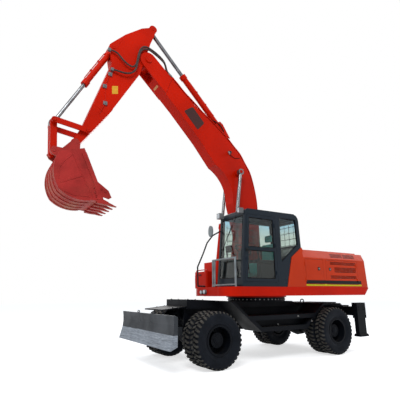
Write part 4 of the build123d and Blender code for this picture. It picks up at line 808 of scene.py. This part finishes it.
makeSeals(sealForm, "cab_glass", "cabSeals", "upper")
makeSeals(sealForm, "door_glass", "doorSeals", "cab_door")

# cab: consoles with levers, seat stand with bellows, pedals, monitor, shelf, mat
cabForm = {
    "floorZ": 1.621, "seatPlace": (-0.73, 0.79), "consoles": [(0.385, 0.525), (1.055, 1.195)],
    "consoleX": (-1.02, -0.36),
    "lever": [(0, 0.045), (0.02, 0.043), (0.045, 0.028), (0.07, 0.014), (0.13, 0.011), (0.14, 0.02),
        (0.19, 0.026), (0.235, 0.02), (0.245, 0)],
    "bellows": [(0, 0.17), (0.02, 0.17), (0.03, 0.14), (0.045, 0.16), (0.06, 0.14), (0.075, 0.16), (0.09, 0.17),
        (0.09, 0)],
    "pedals": (0.62, 0.96), "pedalPlace": (-0.03, 1.67), "pedalTilt": -28,
    "blocks": [((-0.06, 0.385, 2.3), (-0.02, 0.6, 2.46), 0.012),
        ((-1.4, 0.4, 1.621), (-1.12, 1.18, 2.02), 0.03), ((-1.02, 0.36, 1.6205), (0.02, 1.2, 1.628), 0.002),
        ((-0.98, 0.58, 1.7), (-0.48, 1, 1.745), 0.015)],
}


def makeCabFittings(form):
    shape = bmesh.new()
    rear, front = form["consoleX"]
    for low, high in form["consoles"]:
        addBlock(shape, (rear, low, form["floorZ"]), (front, high, 2.02), 0.02)
        addBlock(shape, (rear + 0.05, low + 0.01, 2.02), (front + 0.1, high - 0.01, 2.1), 0.018)
        addTurned(shape, form["lever"], (front - 0.02, (low + high) / 2, 2.075), (0.12, 0, 1), 16)
    addTurned(shape, form["bellows"], (*form["seatPlace"], form["floorZ"]), (0, 0, 1), 20)
    x, z = form["pedalPlace"]
    for y in form["pedals"]:
        hinge = Matrix.Translation((x, y, z))
        tilt = hinge @ Matrix.Rotation(math.radians(form["pedalTilt"]), 4, "Y") @ hinge.inverted()
        addBlock(shape, (-0.1, y - 0.045, 1.66), (0.03, y + 0.045, 1.675), 0.004, tilt)
    for low, high, soft in form["blocks"]:
        addBlock(shape, low, high, soft)
    addRod(shape, (-0.04, 0.42, 1.62), (-0.04, 0.42, 2.32), 0.016, 12)
    makePiece("cabFittings", shape, "upper", ["blackPlastic"])


# guard bars inside the boom-side window and the rear window
barForm = {"sideY": 0.378, "rearX": -1.525, "slope": 0.1, "level": 0.006, "upright": 0.005}


def makeWindowBars(form):
    sideY, rearX, runs = form["sideY"], form["rearX"], []
    for k in range(6):
        rise = k * 0.155
        level = [(-0.93, sideY, 2.12 + rise), (0.02 - form["slope"] * rise, sideY, 2.12 + rise)]
        runs.append((form["level"], level, False))
    for x in (-0.86 + k * 0.155 for k in range(6)):
        runs.append((form["upright"], [(x, sideY, 2.05), (x, sideY, 2.96)], False))
    for z in (2.36 + k * 0.145 for k in range(5)):
        runs.append((form["level"], [(rearX, 0.42, z), (rearX, 1.16, z)], False))
    for y in (0.49 + k * 0.15 for k in range(5)):
        runs.append((form["upright"], [(rearX, y, 2.3), (rearX, y, 3)], False))
    makeTubes("windowBars", runs, "upper", "blackPlastic", 1)


# steering wheel: rim, spokes (degrees), boss
wheelRim = {
    "middle": (-0.215, 0.79, 2.345), "radius": 0.185, "rim": 0.013, "tilt": 32, "around": 40, "thick": 10,
    "spokes": (90, 210, 330),
    "boss": [(-0.035, 0.03), (-0.005, 0.045), (0.012, 0.045), (0.02, 0.035), (0.02, 0)],
}


def makeSteeringWheel(form):
    tilt = Matrix.Translation(form["middle"]) @ Matrix.Rotation(math.radians(-form["tilt"]), 4, "Y")
    shape = bmesh.new()
    rings = []
    for a in (2 * math.pi * i / form["around"] for i in range(form["around"])):
        ring = []
        for b in (2 * math.pi * j / form["thick"] for j in range(form["thick"])):
            out = form["radius"] + form["rim"] * math.cos(b)
            spot = Vector((out * math.cos(a), out * math.sin(a), form["rim"] * math.sin(b)))
            ring.append(shape.verts.new(tilt @ spot))
        rings.append(ring)
    joinRings(shape, rings)
    for a in (math.radians(spoke) for spoke in form["spokes"]):
        end = Vector((form["radius"] * math.cos(a), form["radius"] * math.sin(a), 0))
        addRod(shape, tilt @ Vector((0, 0, -0.02)), tilt @ end, 0.011, 10, 0.009)
    addTurned(shape, form["boss"], form["middle"], tilt.to_3x3() @ Vector((0, 0, 1)), 20)
    makePiece("steeringWheel", shape, "upper", ["blackPlastic"])


# wiper: foot and tip of its arm on the windscreen (y, z), blade
wiperForm = {"foot": (0.5, 2.36), "tip": (0.8, 2.86), "off": 0.02, "blade": (0.004, 0.004, 0.26)}


def makeWiper(form):
    hits = [surfaceAt("cab_glass", (1, *form[key]), (-1, 0, 0)) for key in ("foot", "tip")]
    if None in hits[0] + hits[1]:
        return
    shape = bmesh.new()
    (foot, footNormal), (tip, tipNormal) = hits
    a, b = foot + footNormal * form["off"], tip + tipNormal * form["off"]
    addRod(shape, a, b, 0.007, 10)
    addRod(shape, a - footNormal * 0.018, a + footNormal * 0.012, 0.022, 16)
    blade = Vector(form["blade"])
    addBlock(shape, -blade, blade, 0.001, along(b - tipNormal * 0.011, (b - a).normalized()))
    makePiece("wiper", shape, "upper", ["blackPlastic"])


# door: handle with its lock, grab bar inside the glass
doorForm = {
    "handle": [((0.005, 1.2655, 2.255), (0.085, 1.276, 2.315), 0.004),
        ((-0.055, 1.274, 2.272), (0.07, 1.286, 2.298), 0.005)],
    "lock": ((0.045, 1.262, 2.285), (0.045, 1.284, 2.285)),
    "grab": [(-0.03, 1.226, 1.8), (-0.03, 1.205, 1.8), (-0.03, 1.198, 1.86), (-0.02, 1.198, 2.14),
        (-0.02, 1.205, 2.2), (-0.02, 1.226, 2.2)],
}


def makeDoorHandle(form):
    shape = bmesh.new()
    for low, high, soft in form["handle"]:
        addBlock(shape, low, high, soft)
    addRod(shape, *form["lock"], 0.016, 14)
    makePiece("doorHandle", shape, "cab_door", ["blackPlastic"])
    makeTubes("doorGrab", [(0.01, form["grab"], True)], "cab_door", "blackPlastic")


makeCabFittings(cabForm)
makeWindowBars(barForm)
makeSteeringWheel(wheelRim)
makeWiper(wiperForm)
makeDoorHandle(doorForm)

# seat: cushion, back and head pad (low corner, high corner, lean in degrees), puffed by a cloth simulation,
# with sewn channels: two along y on seat and back, one across the seat
seatForm = {
    "pads": [((-0.955, 0.566, 1.76), (-0.434, 1.014, 2.045), 0),
        ((-1.025, 0.575, 2.07), (-0.915, 1.005, 2.52), -3), ((-1.02, 0.68, 2.56), (-0.945, 0.9, 2.72), -2)],
    "voxel": 0.012, "pressure": 4, "cap": 0.012, "frames": 20,
    "channels": (0.665, 0.915), "deep": 0.01, "cross": -0.62, "crossDeep": 0.008, "channelWide": 0.009,
    "seatTop": (1.99, 2.08), "backTop": 2.53, "backFront": -0.99,
}


def bakePad(pad):
    mesh = bpy.data.meshes.new_from_object(pad.evaluated_get(bpy.context.evaluated_depsgraph_get()))
    pad.modifiers.clear()
    pad.data = mesh


def puffPad(form, pad):
    start = [v.co.copy() for v in pad.data.vertices]
    puff = pad.modifiers.new("puff", "CLOTH")
    puff.settings.use_pressure = True
    puff.settings.uniform_pressure_force = form["pressure"]
    puff.settings.effector_weights.gravity = 0
    puff.point_cache.frame_start = 1
    puff.point_cache.frame_end = form["frames"]
    for step in range(1, form["frames"] + 1):
        bpy.context.scene.frame_set(step)
    bakePad(pad)
    for vert, was in zip(pad.data.vertices, start):
        move = vert.co - was
        if move.length > form["cap"]:
            vert.co = was + move.normalized() * form["cap"]
    bpy.context.scene.frame_set(1)


def sewPad(form, pad):
    low, high = form["seatTop"]
    for vert in pad.data.vertices:
        x, y, z = vert.co
        for line in form["channels"]:
            pull = form["deep"] * math.exp(-((y - line) / form["channelWide"]) ** 2)
            if low < z < high:
                vert.co.z -= pull
            elif high <= z < form["backTop"] and x > form["backFront"]:
                vert.co.x -= pull
        if low < z < high:
            vert.co.z -= form["crossDeep"] * math.exp(-((x - form["cross"]) / form["channelWide"]) ** 2)


def makeSeat(form):
    shape = bmesh.new()
    for low, high, lean in form["pads"]:
        foot = Matrix.Translation(((low[0] + high[0]) / 2, 0, low[2]))
        turn = foot @ Matrix.Rotation(math.radians(lean), 4, "Y") @ foot.inverted()
        addBlock(shape, low, high, 0.032, turn)
    pad = makePiece("seatPads", shape, None, ["seatWeave"], 80)
    voxels = pad.modifiers.new("voxels", "REMESH")
    voxels.mode = "VOXEL"
    voxels.voxel_size = form["voxel"]
    bakePad(pad)
    puffPad(form, pad)
    finer = pad.modifiers.new("finer", "SUBSURF")
    finer.levels = 1
    finer.render_levels = 1
    bakePad(pad)
    sewPad(form, pad)
    for polygon in pad.data.polygons:
        polygon.use_smooth = True
    if not pad.data.materials:
        pad.data.materials.append(made["seatWeave"])
    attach(pad, "upper")
    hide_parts("seat")
    low = [min(v.co[i] for v in pad.data.vertices) for i in range(3)]
    high = [max(v.co[i] for v in pad.data.vertices) for i in range(3)]
    print("seat pads from", [round(c, 3) for c in low], "to", [round(c, 3) for c in high])


makeSeat(seatForm)
print("cab fitted")

# engine housing: door latches, screens behind the louvres (rear, front, low, high), vents in its shoulders,
# strips and a grip on the lid
housingForm = {
    "latches": {"front": (-2.11, 1.95), "rear": (-2.5, 1.95)}, "latchY": 1.2635, "knobY": 1.27,
    "screens": [(-3.515, -2.495, 1.722, 1.796), (-3.515, -2.64, 1.868, 2.01), (-3.515, -2.495, 2.05, 2.136)],
    "screenY": 1.217, "wireY": 1.222, "wirePitch": 0.12,
    "vents": [(-3.5, -3.06), (-3.02, -2.58)], "ventRows": 4, "ventZ": (2.235, 2.34), "ventShare": (0.15, 0.6),
    "lidStrips": [-1.8, -2.35, -2.9, -3.4], "stripHalf": (0.06, 0.72),
    "lidGrip": ((-3.56, -0.1, 2.441), (-3.535, 0.1, 2.455)),
}


def addPatch(shape, node, starts, toward, lift):
    # a thin patch that lies on a node's face, from the points its corners meet
    hits = [surfaceAt(node, start, toward) for start in starts]
    if (None, None) in hits:
        return
    top = [shape.verts.new(point + normal * lift) for point, normal in hits]
    foot = [shape.verts.new(point - normal * 0.004) for point, normal in hits]
    shape.faces.new(top)
    shape.faces.new(list(reversed(foot)))
    for i in range(len(top)):
        j = (i + 1) % len(top)
        shape.faces.new((foot[i], foot[j], top[j], top[i]))


def rectangle(lowX, highX, lowY, highY):
    return [(lowX, lowY), (highX, lowY), (highX, highY), (lowX, highY)]


def makeHousingFittings(form):
    vents = bmesh.new()
    for hand, side in (("left", 1), ("right", -1)):
        for end, (x, z) in form["latches"].items():
            shape = bmesh.new()
            addBox(shape, (x, side * form["latchY"], z), (0.036, 0.0045, 0.036), 0.003)
            addBox(shape, (x, side * form["knobY"], z), (0.022, 0.004, 0.014), 0.003, 1)
            lock = Vector((x + 0.012, side * form["knobY"], z - 0.024))
            addRod(shape, lock, lock + Vector((0, side * 0.006, 0)), 0.006, 12, None, 1)
            name = hand + "_" + end
            makePiece(name + "_latch", shape, name + "_door", ["blackPlastic", "zincBolt"])
        shape = bmesh.new()
        for rear, front, low, high in form["screens"]:
            middle, tall = (low + high) / 2, (high - low) / 2
            half = ((front - rear) / 2, 0.003, tall)
            addBox(shape, ((rear + front) / 2, side * form["screenY"], middle), half, 0.001)
            for k in range(int((front - rear) / form["wirePitch"])):
                x = rear + (k + 0.5) * form["wirePitch"]
                addBox(shape, (x, side * form["wireY"], middle), (0.004, 0.003, tall), 0.001)
        makePiece(hand + "Screens", shape, hand + "_rear_door", ["frameBlack"])
        low, high = form["ventZ"]
        for rear, front in form["vents"]:
            for k in range(form["ventRows"]):
                a, b = (low + (high - low) * (k + share) / form["ventRows"] for share in form["ventShare"])
                starts = [(x, side * 3, z) for x, z in rectangle(rear, front, a, b)]
                addPatch(vents, "engine_housing", starts, (0, -side, 0), 0.0025)
    makePiece("shoulderVents", vents, "upper", ["frameBlack"])
    shape = bmesh.new()
    halfX, halfY = form["stripHalf"]
    for x in form["lidStrips"]:
        starts = [(*spot, 3) for spot in rectangle(x - halfX, x + halfX, -halfY, halfY)]
        addPatch(shape, "engine_lid", starts, (0, 0, -1), 0.003)
    addBlock(shape, *form["lidGrip"], 0.004)
    makePiece("lidGrips", shape, "engine_lid", ["softRubber"])


# deck: tank caps, toolbox catch, bolts along its right side, caps on the pins of boom and boom rams; lifting
# eyes on the counterweight and rails by the tanks
deckForm = {
    "tankCaps": [(-1.2, -0.9, 3), (-0.66, -0.9, 3)],
    "cap": [(-0.002, 0.075), (0.014, 0.075), (0.018, 0.068), (0.018, 0.058), (0.05, 0.058), (0.056, 0.052),
        (0.056, 0)],
    "catch": (0.4, -0.895, 1.86), "bolts": (-0.3, -0.75, -1.35, -1.9, -2.5, -3.1, -3.7), "boltZ": 1.43,
    "pins": [(-1.14, 1.93), (-0.29, 1.6)],
    "pinCap": [(-0.002, 0.062), (0.01, 0.062), (0.014, 0.056), (0.014, 0)],
    "eyes": [(-3.84, 0.62), (-3.84, -0.62)],
    "eye": [(-0.055, -0.01), (-0.055, 0.065), (0, 0.105), (0.055, 0.065), (0.055, -0.01)],
    "rails": [(0.013, [(-0.16, -1.17, 1.935), (-0.16, -1.17, 1.975), (-0.17, -1.15, 1.989),
        (-0.17, -0.66, 1.989), (-0.16, -0.64, 1.975), (-0.16, -0.64, 1.935)], True),
        (0.012, [(-0.109, -1.1, 1.62), (-0.092, -1.1, 1.62), (-0.085, -1.1, 1.64), (-0.085, -1.1, 1.84),
        (-0.092, -1.1, 1.86), (-0.109, -1.1, 1.86)], True)],
}


def makeDeckFittings(form):
    shape = bmesh.new()
    for start in form["tankCaps"]:
        point, _ = surfaceAt("tanks", start, (0, 0, -1))
        if point:
            addTurned(shape, form["cap"], point, (0, 0, 1), 28)
            addBox(shape, point + Vector((0, 0, 0.061)), (0.045, 0.008, 0.007))
    point, _ = surfaceAt("toolbox", form["catch"], (-1, 0, 0))
    if point:
        addBlock(shape, (point.x - 0.002, -0.945, 1.84), (point.x + 0.014, -0.845, 1.875))
    makePiece("tankCaps", shape, "upper", ["blackPlastic"])
    shape = bmesh.new()
    for x in form["bolts"]:
        boltOn(shape, "deck", (x, -1.6, form["boltZ"]), (0, 1, 0), 0.01, 0.008)
    for x, z in form["pins"]:
        for side, start in ((1, 0.4), (-1, -0.9)):
            point, normal = surfaceAt("deck", (x, start, z), (0, -side, 0))
            if point and abs(normal.y) > 0.7:
                addTurned(shape, form["pinCap"], point, (0, side, 0), 24)
    makePiece("deckBolts", shape, "upper", ["deepPaint"])
    loops = []
    for x, y in form["eyes"]:
        point, _ = surfaceAt("counterweight", (x, y, 4), (0, 0, -1))
        if point:
            loops.append((0.013, [(x + far, y, point.z + rise) for far, rise in form["eye"]], True))
    makeTubes("liftingEyes", loops, "upper", "hoodPaint")
    makeTubes("rightRails", form["rails"], "upper", "deepPaint")


# lenses on the deck (round) and on the cab (y, half width, low, high), and the mirror's face (y, z)
lensForm = {
    "round": [(0.605, 0.42, 1.425), (0.0453, -0.626, 1.425)],
    "lens": [(-0.001, 0.041), (0.003, 0.041), (0.007, 0.03), (0.009, 0)],
    "square": [(0.405, 0.05, 3.092, 3.2), (1.18, 0.024, 3.09, 3.186)], "squareX": (0.185, 0.19),
    "mirror": [(0.352, 2.68), (0.345, 2.76), (0.352, 2.84), (0.402, 2.87), (0.452, 2.84), (0.459, 2.76),
        (0.452, 2.68), (0.402, 2.65)],
}


def makeLenses(form):
    shape = bmesh.new()
    for place in form["round"]:
        addTurned(shape, form["lens"], place, (1, 0, 0), 24)
    near, far = form["squareX"]
    for y, wide, low, high in form["square"]:
        addBlock(shape, (near, y - wide, low), (far, y + wide, high), 0.002)
    makePiece("lampLenses", shape, "upper", ["lensClear"])
    shape = bmesh.new()
    addPatch(shape, "mirror", [(0.2, y, z) for y, z in form["mirror"]], (1, 0, 0), 0.002)
    makePiece("mirrorGlass", shape, "upper", ["mirrorFace"])


makeHousingFittings(housingForm)
makeDeckFittings(deckForm)
makeLenses(lensForm)
print("upper structure dressed")

# boom: pipes on its top (rows of y for each side, stations along x, then down its back along z), hoses (y and
# x of the foot, y and y of the ram's end), work lamp with its wire, blank plates
boomForm = {
    "pipeRows": {1: 0.06, -1: -0.26}, "secondRow": 0.032, "pipeRadius": 0.013, "lift": 0.034, "bow": 0.03,
    "over": [1.36, 1.16, 0.95, 0.65, 0.35, 0.1, -0.12, -0.34, -0.56, -0.76, -0.94, -1.06],
    "behind": [4.2, 3.8, 3.4, 3, 2.75], "clamps": [1.28, 0.8, 0.35, -0.34, -0.76],
    "clamp": {1: ((-0.024, -0.038, -0.004), (0.024, 0.022, 0.05)),
        -1: ((-0.024, -0.038, -0.004), (0.024, 0.038, 0.05))},
    "footHoses": [(0.044, -1.44), (0.012, -1.46), (-0.246, -1.44), (-0.214, -1.46)],
    "ramHoses": [(0.044, -0.04), (-0.246, -0.16)],
    "lamp": (-0.411, 0.13, 4.963), "lampAim": (0.8, -0.12, -0.58),
    "lampFoot": ((-0.411, 0.074, 4.943), (-0.411, 0.096, 4.943)),
    "shell": [(-0.05, 0), (-0.048, 0.024), (-0.02, 0.045), (0.018, 0.052), (0.02, 0.052), (0.022, 0.046)],
    "glass": [(0.016, 0.047), (0.024, 0.03), (0.026, 0)],
    "wire": [(-0.45, 0.083, 4.93), (-0.56, 0.083, 4.86), (-0.66, 0.083, 4.86), (-0.77, 0.08, 4.893)],
    "plate": [(0.905, 5.842), (0.7, 5.99), (0.66, 5.985), (0.352, 5.652), (0.352, 5.615), (0.52, 5.42),
        (0.56, 5.425), (0.912, 5.8)],
    "tipPlate": (1.62, 1.66, 0.02, -0.2),
}


def boomLine(form, y):
    # points along the boom's top and down its back, bowed between the clamps
    line = []
    for n, x in enumerate(form["over"]):
        point, normal = surfaceAt("boom", (x, y, 9), (0, 0, -1))
        if point:
            line.append(point + normal * (form["lift"] + form["bow"] * (n % 2)))
    for z in form["behind"]:
        point, normal = surfaceAt("boom", (-3, y, z), (1, 0, 0))
        if point:
            line.append(point + normal * form["lift"])
    return line


def makeBoomPipes(form):
    runs, clamps = [], bmesh.new()
    for side, y in form["pipeRows"].items():
        for row in (y, y - side * form["secondRow"]):
            runs.append((form["pipeRadius"], [tuple(p) for p in boomLine(form, row)], True))
        for x in form["clamps"]:
            point, normal = surfaceAt("boom", (x, y, 9), (0, 0, -1))
            if point:
                addBlock(clamps, *form["clamp"][side], 0.004, along(point, normal))
                addBolt(clamps, point + normal * 0.049, normal, 0.007, 0.007)
    makeTubes("boomPipes", runs, "boom", "deepPaint")
    makePiece("boomPipeClamps", clamps, "boom", ["deepPaint"])


def makeHose(name, radius, route, look, bodies, start, end):
    # a hose along its route, baked in place and attached to no body
    hose = makeTubes(name, [(radius, route, True)], None, look)
    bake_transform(hose)


def makeBoomHoses(form):
    # from the deck to the pipes on the boom's back, and from the pipes to the arm ram's foot
    for n, (y, x) in enumerate(form["footHoses"]):
        end = boomLine(form, y)[-1]
        route = [(x, y, 1.5), (x, y, 1.75), (x - 0.02, y, 2.1), (end.x - 0.05, y, 2.45), (end.x, y, 2.65)]
        route.append((end.x + 0.004, y, end.z + 0.06))
        makeHose("boomFootHose%d" % (n + 1), 0.019, route, "softRubber", ("upper", "boom"),
                 (-1.35, y, 1.62), (-1.25, y, 2.6))
    for n, (y, eye) in enumerate(form["ramHoses"]):
        point, _ = surfaceAt("boom", (-0.1, y, 9), (0, 0, -1))
        if point is None:
            continue
        top = point.z
        route = [(-0.3, y, top), (-0.26, y, top + 0.05), (-0.22, y, top + 0.13)]
        route += [(-0.1, (y + eye) / 2, top + 0.24), (0.01, eye, top + 0.285)]
        makeHose("armRamHose%d" % (n + 1), 0.014, route, "softRubber", ("boom", "arm_barrel"),
                 (-0.28, y, top), (-0.02, y, top + 0.26))


def makeBoomLamp(form):
    shape = bmesh.new()
    aim = Vector(form["lampAim"]).normalized()
    addRod(shape, *form["lampFoot"], 0.012, 12)
    addTurned(shape, form["shell"], form["lamp"], aim, 24)
    addTurned(shape, form["glass"], form["lamp"], aim, 24, 1)
    makePiece("boomLamp", shape, "boom", ["blackPlastic", "lensClear"])
    makeTubes("lampWire", [(0.006, form["wire"], True)], "boom", "softRubber")


def makeBoomPlates(form):
    # a dark plate on the left side and a pale label on the underside, near the tip
    shape = bmesh.new()
    addSlab(shape, form["plate"], 0.074, 0.0775)
    makePiece("boomPlate", shape, "boom", ["labelDark"])
    shape = bmesh.new()
    addPatch(shape, "boom", [(*spot, 3) for spot in rectangle(*form["tipPlate"])], (0, 0, 1), 0.003)
    makePiece("boomTipPlate", shape, "boom", ["labelPale"])


makeBoomPipes(boomForm)
makeBoomHoses(boomForm)
makeBoomLamp(boomForm)
makeBoomPlates(boomForm)

# stick: hoses over its pin, clamps and a pipe down its sides, blank label, weld beads
stickForm = {
    "hoses": {
        "stickHoseA": (0, [(2.895, 0.092, 6.825), (2.753, 0.112, 6.827), (2.62, 0.118, 6.7),
        (2.501, 0.118, 6.601), (2.4, 0.118, 6.56), (2.327, 0.118, 6.556), (2.262, 0.12, 6.62),
        (2.232, 0.122, 6.74), (2.215, 0.124, 6.9), (2.18, 0.124, 7.06), (2.11, 0.124, 7.19), (2, 0.122, 7.225),
        (1.9, 0.122, 7.205), (1.76, 0.122, 7.15), (1.62, 0.116, 7.075), (1.5, 0.1, 6.985)]),
        "stickHoseB": (1, [(2.8, 0.096, 6.338), (2.7, 0.118, 6.33), (2.54, 0.128, 6.315), (2.396, 0.13, 6.353),
        (2.3, 0.13, 6.43), (2.254, 0.13, 6.53), (2.225, 0.13, 6.7), (2.197, 0.13, 6.92), (2.15, 0.128, 7.06),
        (2.075, 0.126, 7.145), (1.97, 0.126, 7.165), (1.89, 0.126, 7.15), (1.75, 0.128, 7.085),
        (1.61, 0.126, 7.01), (1.5, 0.116, 6.935)])},
    "middle": -0.1, "bend": ((1.86, 0, 7.16), (2.24, 0, 6.6)), "radius": 0.021,
    "faces": {1: 0.05, -1: -0.25}, "pads": [(2.839, 6.218), (2.944, 5.878), (2.908, 5.467)],
    "hoseEnds": [(2.8, 6.338), (2.895, 6.825)], "pipeEnds": [(2.82, 6.33), (3.02, 5.2)], "pipeOff": 0.018,
    "label": [(2.777, 5.944), (2.639, 5.988), (2.628, 5.787), (2.765, 5.745)],
    "seams": [[(3.122, 5.369), (2.871, 5.221)], [(2.795, 6.8), (2.56, 7.33)]],
}


def makeStickHoses(form):
    collars = bmesh.new()
    for name, (step, points) in form["hoses"].items():
        for side, hand in ((1, "Left"), (-1, "Right")):
            pipe = boomLine(boomForm, boomForm["pipeRows"][side] - side * step * boomForm["secondRow"])
            near, ahead = pipe[0], (pipe[0] - pipe[1]).normalized()
            route = [(x, y if side > 0 else 2 * form["middle"] - y, z) for x, y, z in points]
            for far, rise in ((0.1, 0.015), (0.05, 0), (-0.01, 0)):
                route.append(tuple(near + ahead * far + Vector((0, 0, rise))))
            addRod(collars, near - ahead * 0.05, near + ahead * 0.045, 0.026, 14)
            addRod(collars, near - ahead * 0.075, near - ahead * 0.05, 0.022, 6)
            makeHose(name + hand, form["radius"], route, "hoseBrown", ("boom", "stick"), *form["bend"])
    makePiece("hoseCollars", collars, "boom", ["zincBolt"])


def makeStickDetails(form):
    shape = bmesh.new()
    pipes, beads = [], []
    first, last = form["pipeEnds"]
    for side, face in form["faces"].items():
        def addPad(x, z, rear, front, half, tall, soft):
            near, far = sorted((face - side * 0.001, face + side * tall))
            addBlock(shape, (x - rear, near, z - half), (x + front, far, z + half), soft)

        for x, z in form["pads"]:
            addPad(x, z, 0.045, 0.045, 0.045, 0.034, 0.008)
            addBolt(shape, (x, face + side * 0.033, z), (0, side, 0))
        for x, z in form["hoseEnds"]:
            addPad(x, z, 0.03, 0.04, 0.035, 0.07, 0.006)
        route = [(x, face + side * form["pipeOff"], z) for x, z in (first, *form["pads"], last)]
        pipes.append((0.008, route, False))
    for seam in form["seams"]:
        for side, face in form["faces"].items():
            beads.append((0.006, [(x, face - side * 0.0005, z) for x, z in seam], False))
    makePiece("stickClamps", shape, "stick", ["lampGrey"])
    makeTubes("stickPipes", pipes, "stick", "deepPaint")
    shape = bmesh.new()
    addSlab(shape, form["label"], 0.0492, 0.052)
    makePiece("stickLabel", shape, "stick", ["labelYellow"])
    makeTubes("stickBeads", beads, "stick", "deepPaint", 1)


makeStickHoses(stickForm)
makeStickDetails(stickForm)

# bucket: weld beads on its sides and the bolts of its side cutters
bucketForm = {
    "beads": [[(3.558, 4.017), (3.403, 3.718), (3.118, 3.215)],
        [(3.558, 4.017), (3.7, 3.86), (3.787, 3.69), (3.77, 3.495)], [(3.356, 3.604), (3.728, 3.423)],
        [(3.82, 3.44), (3.733, 3.29), (3.48, 3.205), (3.16, 3.215)]],
    "cutterBolts": [(3.107, 3.415), (3.081, 3.318), (3.055, 3.24), (2.96, 3.395), (2.885, 3.35)],
    "middle": -0.1, "outside": 1.2, "wall": 0.45,
}


def makeBucketDetails(form):
    runs, shape = [], bmesh.new()
    for side in (1, -1):
        outside = form["middle"] + side * form["outside"]
        for bead in form["beads"]:
            line = []
            for (x0, z0), (x1, z1) in zip(bead, bead[1:]):
                for k in range(5):
                    start = (x0 + (x1 - x0) * k / 4, outside, z0 + (z1 - z0) * k / 4)
                    point, _ = surfaceAt("bucket", start, (0, -side, 0))
                    if point and abs(point.y - form["middle"]) > form["wall"]:
                        line.append(tuple(point))
            if len(line) > 1:
                runs.append((0.0095, line, False))
        for x, z in form["cutterBolts"]:
            boltOn(shape, "bucket", (x, outside, z), (0, -side, 0), 0.02, 0.016)
    makeTubes("bucketBeads", runs, "bucket", "bucketPaint", 1)
    makePiece("cutterBolts", shape, "bucket", ["bucketPaint"])


makeBucketDetails(bucketForm)

# pin caps (node, body, x, z, radius); pipes on the rams: the ram's foot and eye (x, z), its rows of y, where
# the pipe starts and ends along it, and how far off it runs
pinForm = {
    "caps": [("boom", "boom", -0.2, 5.765, 0.05), ("boom", "boom", 1.93, 6.9, 0.075),
        ("boom_ram_rod", "boom_rods", -0.665, 4.44, 0.045), ("stick", "stick", 1.815, 7.87, 0.045),
        ("stick", "stick", 2.79, 6.96, 0.045), ("bucket", "bucket", 3.862, 4.158, 0.045),
        ("side_links", "side_links", 3.24, 4.71, 0.042), ("bucket_link", "bucket_link", 3.915, 4.795, 0.042)],
    "rams": [("arm", "arm_barrel", (-0.2, 5.765), (1.815, 7.87), [-0.1], 0.3, 1.36, 0.094),
        ("bucket", "bucket_barrel", (2.79, 6.96), (3.915, 4.795), [-0.1], 0.2, 1.08, 0.084),
        ("boom", "boom_barrels", (-0.29, 1.6), (-0.665, 4.44), [-0.42, 0.22], 0.25, 1.28, 0.088)],
}


def makePinCaps(form):
    grouped = {}
    for node, body, x, z, radius in form["caps"]:
        shape = grouped.setdefault(body, bmesh.new())
        disc = [(-0.002, radius), (0.007, radius), (0.01, radius - 0.004)]
        dish = [(0.01, radius * 0.35), (0.006, radius * 0.3), (0.006, 0)]
        for side in (1, -1):
            point, normal = surfaceAt(node, (x + 0.003, side * 1.6, z + 0.002), (0, -side, 0))
            if point is None or abs(normal.y) < 0.7:
                continue
            addTurned(shape, disc + dish, point, (0, side, 0), 28)
            for turn in (2 * math.pi * (k / 3 + 0.08) for k in range(3)):
                spot = Vector((math.cos(turn) * radius * 0.66, side * 0.009, math.sin(turn) * radius * 0.66))
                addBolt(shape, point + spot, (0, side, 0), radius * 0.13, 0.007)
    for body, shape in grouped.items():
        slotName = "bucket_red" if body == "bucket" else "deep_red"
        makePiece(body + "_pinCaps", shape, body, [slotFinish[slotName]])


def makeRamPipes(form):
    for name, body, (footX, footZ), (eyeX, eyeZ), rows, near, far, away in form["rams"]:
        way = Vector((eyeX - footX, 0, eyeZ - footZ)).normalized()
        out = Vector((-way.z, 0, way.x))
        runs, blocks = [], bmesh.new()
        for y in rows:
            a, b = (Vector((footX, y, footZ)) + way * reach + out * away for reach in (near, far))
            route = [a - out * 0.03, a, a + way * 0.04, b - way * 0.04, b, b - out * 0.03]
            runs.append((0.011, [tuple(p) for p in route], True))
            for share in (0.33, 0.7):
                place = along(a + (b - a) * share, out)
                addBlock(blocks, (-0.02, -0.018, -0.03), (0.02, 0.018, 0.016), 0.003, place)
            foot = along(a - out * 0.012, out)
            addBlock(blocks, (-0.026, -0.026, -0.03), (0.026, 0.026, 0.01), 0.004, foot)
        makeTubes(name + "RamPipes", runs, body, "deepPaint")
        makePiece(name + "RamClamps", blocks, body, ["deepPaint"])


makePinCaps(pinForm)
makeRamPipes(pinForm)
print("boom, stick and bucket dressed")
